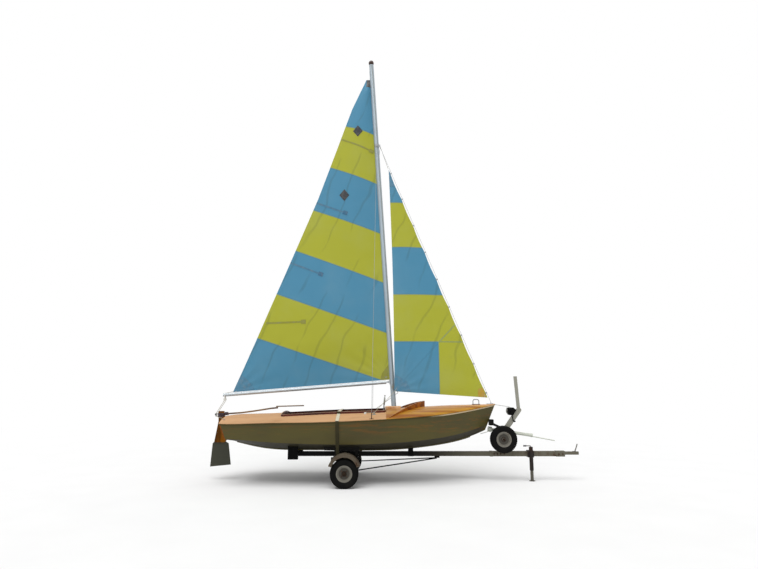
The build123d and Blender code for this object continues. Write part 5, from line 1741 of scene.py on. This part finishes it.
@dataclass
class MastGear:
    """Luff track, halyards and cleats on the mast.

    Attributes:
        cleat_up: Height of the cleats up the mast.
        line: Radius of the halyards.
        beside: Half width of the mast where the cleats sit.
        RISE: Direction up the leaning mast.
    """

    cleat_up: float = 0.300
    line: float = 0.003
    beside: float = 0.029
    RISE = (mast_point(1.0) - MAST_FOOT).normalized()

    def at(self, up: float, fore: float, side: float) -> Vector:
        """Point beside the mast."""
        return mast_point(up, -fore) + Vector((0.0, side, 0.0))

    def track(self) -> None:
        """Slotted track for the luff."""
        for side in Side:
            base = self.at(MAIN_TACK_UP + 0.06, -MAST_FORE_AFT / 2 + 0.0005, side.value * 0.0055)
            rail = Bench.turned(((0.0035, 0.0), (0.0035, MAIN_HEAD_UP - MAIN_TACK_UP + 0.10)), base, self.RISE, 8)
            Bench.finish(rail, f"luff_track_{side.label}", SPAR, "spar_alloy")

    def cleat(self, side: Side) -> None:
        """Horn cleat with the halyard's turns on it.

        Args:
            side: Side of the mast that it is on.
        """
        out = TO_PORT * side.value
        middle = self.at(self.cleat_up, 0.0, side.value * (self.beside + 0.016))
        horns = Bench.turned(((0.0025, -0.055), (0.0045, -0.050), (0.006, -0.020), (0.0065, 0.0), (0.006, 0.020),
                              (0.0045, 0.050), (0.0025, 0.055)), middle, self.RISE, 16)
        Bench.finish(horns, f"mast_cleat_{side.label}", STAINLESS, "stainless")
        for number, up in enumerate((-0.014, 0.014)):
            foot = Bench.turned(((0.009, 0.0), (0.0055, 0.006), (0.005, 0.018)),
                                middle + self.RISE * up - out * 0.018, out, 12)
            Bench.finish(foot, f"mast_cleat_{side.label}_foot_{number}", STAINLESS, "stainless")
        fore = self.RISE.cross(out) * side.value
        route = winding(middle - self.RISE * 0.020, self.RISE, fore, (0.013, 0.011), 6.0, 0.0065)
        Bench.finish(rope(route, 0.0034, 6), f"halyard_turns_{side.label}", HALYARD_ROPE, "sail_cloth")

    def build(self) -> None:
        """Make the mast's gear."""
        self.track()
        for side in Side:
            self.cleat(side)
        down = -0.034
        main = [self.at(MAST_LENGTH - 0.02, 0.0, down), self.at(MAST_LENGTH - 0.20, 0.012, down),
                self.at(2.4, 0.022, down), self.at(self.cleat_up + 0.25, 0.016, down - 0.003),
                self.at(self.cleat_up + 0.02, 0.008, down - 0.010)]
        Bench.finish(rope(main, self.line, 6), "main_halyard", HALYARD_ROPE, "sail_cloth")
        jib = [JIB_HEAD + Vector((-0.010, 0.006, 0.020)), self.at(HOUNDS_UP - 0.01, 0.062, 0.010),
               self.at(HOUNDS_UP - 0.08, 0.046, 0.018), self.at(HOUNDS_UP - 0.30, 0.020, 0.036),
               self.at(2.4, 0.020, 0.036), self.at(self.cleat_up + 0.25, 0.014, 0.037),
               self.at(self.cleat_up + 0.02, 0.008, 0.045)]
        Bench.finish(rope(jib, self.line, 6), "jib_halyard", HALYARD_ROPE, "sail_cloth")


@dataclass
class RunningGear:
    """Mainsheet with its horse, jib sheets with fairleads and cleats, and the outhaul.

    Attributes:
        horse: Middle of the horse, aft of the rudder head.
        corner: End of the horse at the starboard corner of the transom.
        lead: Place of the starboard fairlead on the side deck.
        cleat: Place of the starboard jib cleat.
        TURNED_OUT: Direction of the starboard fairlead's axis, with the sign of y of the port one.
    """

    horse: tuple[float, float, float] = (-2.845, 0.0, 0.978)
    corner: tuple[float, float] = (-2.585, -0.47)
    lead: tuple[float, float] = (-0.323, -0.555)
    cleat: tuple[float, float] = (-0.455, -0.500)
    TURNED_OUT = (0.45, -0.55, 0.25)

    def mainsheet(self) -> None:
        """Lines between the boom's block and the horse."""
        middle = Vector(self.horse)
        ends = []
        for side in Side:
            foot = on_deck(self.corner[0], -self.corner[1] * side.value, 0.004)
            eye = Bench.spun(wire_ring(0.011, 0.003), foot, TO_PORT, 20)
            Bench.finish(eye, f"horse_eye_{side.label}", STAINLESS, "stainless")
            ends.append(foot + UP * 0.010)
        route = [ends[0], ends[0].lerp(middle, 0.5), middle, ends[1].lerp(middle, 0.5), ends[1]]
        Bench.finish(rope(rounded(route, 0.03), 0.0035), "mainsheet_horse", SHEET_ROPE, "sail_cloth")
        low, top = (Vector(corner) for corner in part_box("mainsheet_block"))
        high = Vector(((low.x + top.x) / 2, 0.0, low.z + 0.004))
        block = Bench.spun(((0.006, -0.007), (0.016, -0.007), (0.019, -0.005), (0.015, 0.0), (0.019, 0.005),
                            (0.016, 0.007), (0.006, 0.007)), middle + Vector((0.002, 0.0, 0.026)), TO_PORT)
        Bench.finish(block, "horse_block", BLACK_PLASTIC, "block_plastic", body="")
        lines = [block]
        for number, (x, y) in enumerate(((-0.012, 0.004), (0.014, -0.005))):
            line = rope([high + Vector((x, y, 0.0)), middle + Vector((x * 0.9, y, 0.024))], 0.0038)
            lines.append(Bench.finish(line, f"mainsheet_{number}", SHEET_ROPE, "sail_cloth", body=""))
        shackle = rope([middle + Vector((0.0, 0.0, -0.006)), middle + Vector((0.002, 0.0, 0.022))], 0.004)
        lines.append(Bench.finish(shackle, "horse_shackle", STAINLESS, "stainless", body=""))
        for piece in lines:
            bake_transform(piece)

    def jib_sheets(self) -> None:
        """Both jib sheets, with what they pass through."""
        start = JIB_CLEW + Vector((0.022, -0.002, 0.018))
        for side in Side:
            name = side.label
            sign = -side.value
            lead = on_deck(self.lead[0], self.lead[1] * sign, 0.026)
            cleat = on_deck(self.cleat[0], self.cleat[1] * sign, 0.020)
            x, y, z = self.TURNED_OUT
            ring = Bench.spun(wire_ring(0.013, 0.005), lead, Vector((x, y * sign, z)))
            Bench.finish(ring, f"fairlead_{name}", LEVER_METAL, "block_plastic")
            base = Bench.block((lead.x - 0.028, lead.y - 0.011, lead.z - 0.036),
                               (lead.x + 0.028, lead.y + 0.011, lead.z - 0.015), 0.003)
            Bench.finish(base, f"fairlead_{name}_base", LEVER_METAL, "block_plastic")
            jaws = Bench.block((cleat.x - 0.018, cleat.y - 0.014, cleat.z - 0.030),
                               (cleat.x + 0.018, cleat.y + 0.014, cleat.z + 0.004), 0.005)
            Bench.finish(jaws, f"jib_cleat_{name}", BLOCK_WHITE, "block_plastic")
            route = [start]
            if side is Side.PORT:
                route += [Vector((0.056, -0.030, 1.352)), Vector((0.056, 0.030, 1.340))]
            route += [lead, cleat + UP * 0.008]
            line = rope(route, 0.0035, 8)
            Bench.finish(line, f"jib_sheet_{name}", SHEET_ROPE, "sail_cloth")

    def outhaul(self) -> None:
        """Line from the clew to the end of the boom."""
        line = rope([Vector((-2.548, 0.0, 1.378)), Vector((-2.640, 0.0, 1.350)), Vector((-2.728, 0.0, 1.332))],
                    0.003, 6)
        Bench.finish(line, "outhaul", SHEET_ROPE, "sail_cloth", "boom")

    def build(self) -> None:
        """Make the running gear."""
        self.mainsheet()
        self.jib_sheets()
        self.outhaul()


@dataclass
class HullGear:
    """Lashings on the rudder head and tiller, centreboard lever and the pad under the bow hoop.

    Attributes:
        lashings: Name, middle of the first turn, axis, direction of the first half width, both half widths and
            number of turns of each lashing.
        lever_x: Place of the lever along the boat.
    """

    lashings: tuple[tuple, ...] = (
        ("rudder_lashing", (-2.757, 0.0, 0.966), (0.0, 0.0, 1.0), (1.0, 0.0, 0.0), (0.054, 0.030), 7.0),
        ("tiller_lashing", (-2.700, 0.0, 1.016), (1.0, 0.0, 0.03), (0.0, 1.0, 0.0), (0.021, 0.022), 6.0),
    )
    lever_x: float = -0.176

    def build(self) -> None:
        """Make the pieces."""
        for name, first, axis, across, size, turns in self.lashings:
            route = winding(Vector(first), Vector(axis), Vector(across), size, turns, 0.0085)
            Bench.finish(rope(route, 0.0045, 6), name, LASHING_ROPE, "webbing", "rudder")
        top = touch(("board_trunk", "mast_step", "foredeck"), Vector((self.lever_x, 0.0, 3.0)), -UP)
        lever = Bench.turned(((0.008, 0.0), (0.008, 0.090), (0.0125, 0.098), (0.0135, 0.150), (0.0125, 0.205),
                              (0.007, 0.215), (0.0065, 0.236), (0.011, 0.242), (0.011, 0.250)),
                             Vector((self.lever_x, 0.0, top.z - 0.004)), Vector((0.10, 0.0, 1.0)).normalized(), 16)
        Bench.finish(lever, "centreboard_lever", LEVER_METAL, "stainless")
        middle = on_deck(1.303, 0.0)
        pad = Bench.block((1.239, -0.026, middle.z - 0.014), (1.367, 0.026, middle.z + 0.008), 0.004)
        Bench.finish(pad, "hoop_pad", DARK_VARNISH, "dark_varnish")


@dataclass
class TrailerGear:
    """Winch strap, spring clamps, jack handle, bolts and the rod behind the bow arm.

    Attributes:
        drum: x and z of the winch drum's axis.
        stem: x and z of the eye on the bow.
        jack: x and y of the jack's axis.
        spring_y: Distance of the springs from the middle.
        bolts: x, z and nodes of the bolts through the tongue.
    """

    drum: tuple[float, float] = (1.843, 1.056)
    stem: tuple[float, float] = (1.560, 1.166)
    jack: tuple[float, float] = (2.128, -0.080)
    spring_y: float = 0.560
    bolts: tuple[tuple[float, float, tuple[str, ...]], ...] = (
        (2.575, 0.400, ("coupler", "tongue")), (2.635, 0.400, ("coupler", "tongue")),
        (1.560, 0.402, ("tongue", "spine")), (1.610, 0.402, ("tongue", "spine")),
        (1.662, 0.402, ("tongue", "spine")), (1.720, 0.402, ("tongue", "spine")),
    )

    def winch(self) -> None:
        """Strap wound on the drum, run to the bow and hooked there."""
        drum = Vector((self.drum[0], 0.0, self.drum[1]))
        wound = Bench.spun(((0.040, -0.026), (0.058, -0.026), (0.0605, -0.024), (0.0605, 0.024), (0.058, 0.026),
                            (0.040, 0.026)), drum, TO_PORT, 48)
        Bench.finish(wound, "winch_roll", STRAP_WEBBING, "webbing")
        eye = Vector((self.stem[0], 0.0, self.stem[1]))
        top = drum + Vector((-0.012, 0.0, 0.058))
        hook_end = eye.lerp(top, 0.24)
        strap = rope([hook_end, top], 0.004, 8)
        strap.data.transform(Matrix.Translation(hook_end) @ Matrix.Diagonal((1.0, 4.5, 0.8, 1.0))
                             @ Matrix.Translation(-hook_end))
        Bench.finish(strap, "winch_strap", STRAP_WEBBING, "webbing")
        run = (top - eye).normalized()
        bend = [hook_end, hook_end - run * 0.030, eye + run * 0.012 + Vector((0.0, 0.0, 0.010)),
                eye + Vector((-0.008, 0.0, 0.004)), eye + Vector((-0.004, 0.0, -0.010)),
                eye + Vector((0.010, 0.0, -0.012))]
        Bench.finish(rope(rounded(bend, 0.005), 0.0045), "winch_hook", STAINLESS, "stainless")

    def springs(self) -> None:
        """Two bent clamps and a plate over each spring."""
        for side in Side:
            y = side.value * self.spring_y
            top = touch(("springs",), Vector((WHEEL.x, y, 0.6)), -UP).z
            name = side.label
            plate = Bench.block((WHEEL.x - 0.040, y - 0.040, top), (WHEEL.x + 0.040, y + 0.040, top + 0.006), 0.0015)
            Bench.finish(plate, f"spring_plate_{name}", BLACK_STEEL, "black_steel")
            for number, off in enumerate((-0.029, 0.029)):
                legs = [Vector((WHEEL.x + x, y + off, z)) for x, z in
                        ((-0.029, top + 0.018), (-0.029, 0.190), (-0.022, 0.178), (0.022, 0.178), (0.029, 0.190),
                         (0.029, top + 0.018))]
                Bench.finish(rope(legs, 0.0045), f"spring_clamp_{name}_{number}", ZINC, "zinc_steel")
                for x in (-0.029, 0.029):
                    nut = Bench.turned(((0.008, 0.0), (0.008, 0.006), (0.0068, 0.007)),
                                       Vector((WHEEL.x + x, y + off, top + 0.006)), UP, 6)
                    Bench.finish(nut, f"spring_nut_{name}_{number}_{'fore' if x > 0 else 'aft'}", ZINC, "zinc_steel")

    def front(self) -> None:
        """Jack handle, bolts through the tongue and the rod aft of the arm."""
        x, y = self.jack
        handle = [Vector((x, y, 0.505)), Vector((x, y, 0.520)), Vector((x - 0.012, y - 0.002, 0.527)),
                  Vector((x - 0.085, y - 0.006, 0.528))]
        Bench.finish(rope(rounded(handle, 0.008), 0.006), "jack_handle", RUST, "zinc_steel")
        grip = Bench.turned(((0.009, 0.0), (0.0115, 0.004), (0.0115, 0.044), (0.008, 0.050)),
                            Vector((x - 0.070, y - 0.006, 0.528)), Vector((-1.0, 0.0, 0.0)), 16)
        Bench.finish(grip, "jack_grip", BLACK_PLASTIC, "block_plastic")
        rod = Bench.turned(((0.003, 0.0), (0.0045, 0.003), (0.0045, 0.150), (0.003, 0.153)),
                           Vector((1.512, 0.030, 0.742)), Vector((-0.96, 0.0, -0.27)).normalized(), 10)
        Bench.finish(rod, "arm_tail_rod", ARM_WHITE, "white_steel")
        for number, (along, up, nodes) in enumerate(self.bolts):
            for side in Side:
                out = TO_PORT * side.value
                face = touch(nodes, Vector((along, side.value * 0.5, up)), -out)
                bolt = Bench.turned(((0.013, -0.001), (0.013, 0.002), (0.0095, 0.002), (0.0095, 0.008),
                                     (0.008, 0.0095)), face, out, 6)
                Bench.finish(bolt, f"tongue_bolt_{number}_{side.label}", RUST, "zinc_steel")

    def build(self) -> None:
        """Make the trailer's gear."""
        self.winch()
        self.springs()
        self.front()


@dataclass
class Studio:
    """Camera, light and floor.

    Attributes:
        lens: Focal length of the photograph's frame on a 36 mm sensor.
        eye: Where the camera stands.
        pitch: Upward tilt in degrees.
        floor_size: Width of the floor.
        sky: Strength of the even light all round.
        fade: Distances where the floor begins to turn white and where it is white.
        suns: Name, strength, spread, tilt and turn in degrees of each lamp.
    """

    lens: float = 27.05
    eye: tuple[float, float, float] = (-0.247, -9.3, 1.45)
    pitch: float = 10.1
    floor_size: float = 160.0
    sky: float = 0.62
    fade: tuple[float, float] = (5.0, 16.0)
    suns: tuple[tuple[str, float, float, float, float], ...] = (
        ("high_light", 1.9, 50, 24, -25), ("front_light", 0.5, 70, 66, -12),
    )

    def camera(self) -> None:
        """Stand the camera where the photograph was taken."""
        bpy.ops.object.camera_add(location=self.eye, rotation=(math.radians(90 + self.pitch), 0.0, 0.0))
        camera = bpy.context.object
        camera.data.lens = self.lens
        camera.data.sensor_width = 36.0
        camera.data.clip_end = 500.0
        bpy.context.scene.camera = camera

    def light(self) -> None:
        """Soft daylight from above and in front, and an even light all round."""
        for name, strength, spread, tilt, turn in self.suns:
            bpy.ops.object.light_add(type="SUN", rotation=(math.radians(tilt), 0.0, math.radians(turn)))
            lamp = bpy.context.object
            lamp.name = name
            lamp.data.energy = strength
            lamp.data.angle = math.radians(spread)
        world = bpy.data.worlds.new("studio_world")
        bpy.context.scene.world = world
        world.use_nodes = True
        tree = world.node_tree
        tree.nodes.clear()
        path = tree.nodes.new("ShaderNodeLightPath")
        seen = path.outputs["Is Camera Ray"]
        for other in ("Is Glossy Ray", "Is Transmission Ray"):
            either = tree.nodes.new("ShaderNodeMath")
            either.operation = "MAXIMUM"
            tree.links.new(seen, either.inputs[0])
            tree.links.new(path.outputs[other], either.inputs[1])
            seen = either.outputs[0]
        strength = tree.nodes.new("ShaderNodeMapRange")
        strength.inputs["To Min"].default_value = self.sky
        strength.inputs["To Max"].default_value = 1.0
        background = tree.nodes.new("ShaderNodeBackground")
        output = tree.nodes.new("ShaderNodeOutputWorld")
        tree.links.new(seen, strength.inputs["Value"])
        tree.links.new(strength.outputs[0], background.inputs["Strength"])
        background.inputs["Color"].default_value = (1.0, 1.0, 1.0, 1.0)
        tree.links.new(background.outputs[0], output.inputs[0])

    def floor(self) -> None:
        """Pale floor that turns to the background's white far from the boat."""
        bpy.ops.mesh.primitive_plane_add(size=self.floor_size, location=(0.0, 0.0, 0.0))
        floor = bpy.context.object
        floor.name = "studio_floor"
        graph = Graph("studio_floor")
        x, y, _ = graph.axes()
        fade = (x * x + y * y).root().ramp(*self.fade)
        path = graph.node("ShaderNodeLightPath").socket.node
        seen = Signal(graph, path.outputs["Is Camera Ray"])
        seen = seen.higher_of(Signal(graph, path.outputs["Is Glossy Ray"]))
        seen = seen.higher_of(Signal(graph, path.outputs["Is Transmission Ray"]))
        shade = graph.noise(1.3, 3.0).ramp(0.2, 0.8) * 0.02 + 0.80
        plain = graph.node("ShaderNodeCombineXYZ", inputs={0: shade, 1: shade, 2: shade})
        matt = graph.node("ShaderNodeBsdfDiffuse", inputs={"Color": plain})
        white = graph.node("ShaderNodeEmission", inputs={"Color": (1.0, 1.0, 1.0, 1.0), "Strength": 1.0})
        both = graph.node("ShaderNodeMixShader", inputs={0: fade * seen, 1: matt, 2: white})
        graph.tree.links.new(both.socket, graph.output.inputs["Surface"])
        floor.data.materials.append(graph.material)

    def build(self) -> None:
        """Set up the studio."""
        bpy.context.scene.view_settings.view_transform = "Standard"
        self.camera()
        self.light()
        self.floor()


def write_sizes() -> None:
    """Update the view layer."""
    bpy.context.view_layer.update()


def main() -> None:
    """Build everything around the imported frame."""
    logging.basicConfig(level=logging.INFO, format="%(message)s")
    Bench.clear()
    Studio().build()
    dress_frame()
    for assembly in (Mainsail(), Jib(), RoadWheels(), MastGear(), RunningGear(), HullGear(), TrailerGear()):
        assembly.build()
    write_sizes()


if __name__ == "__main__":
    main()
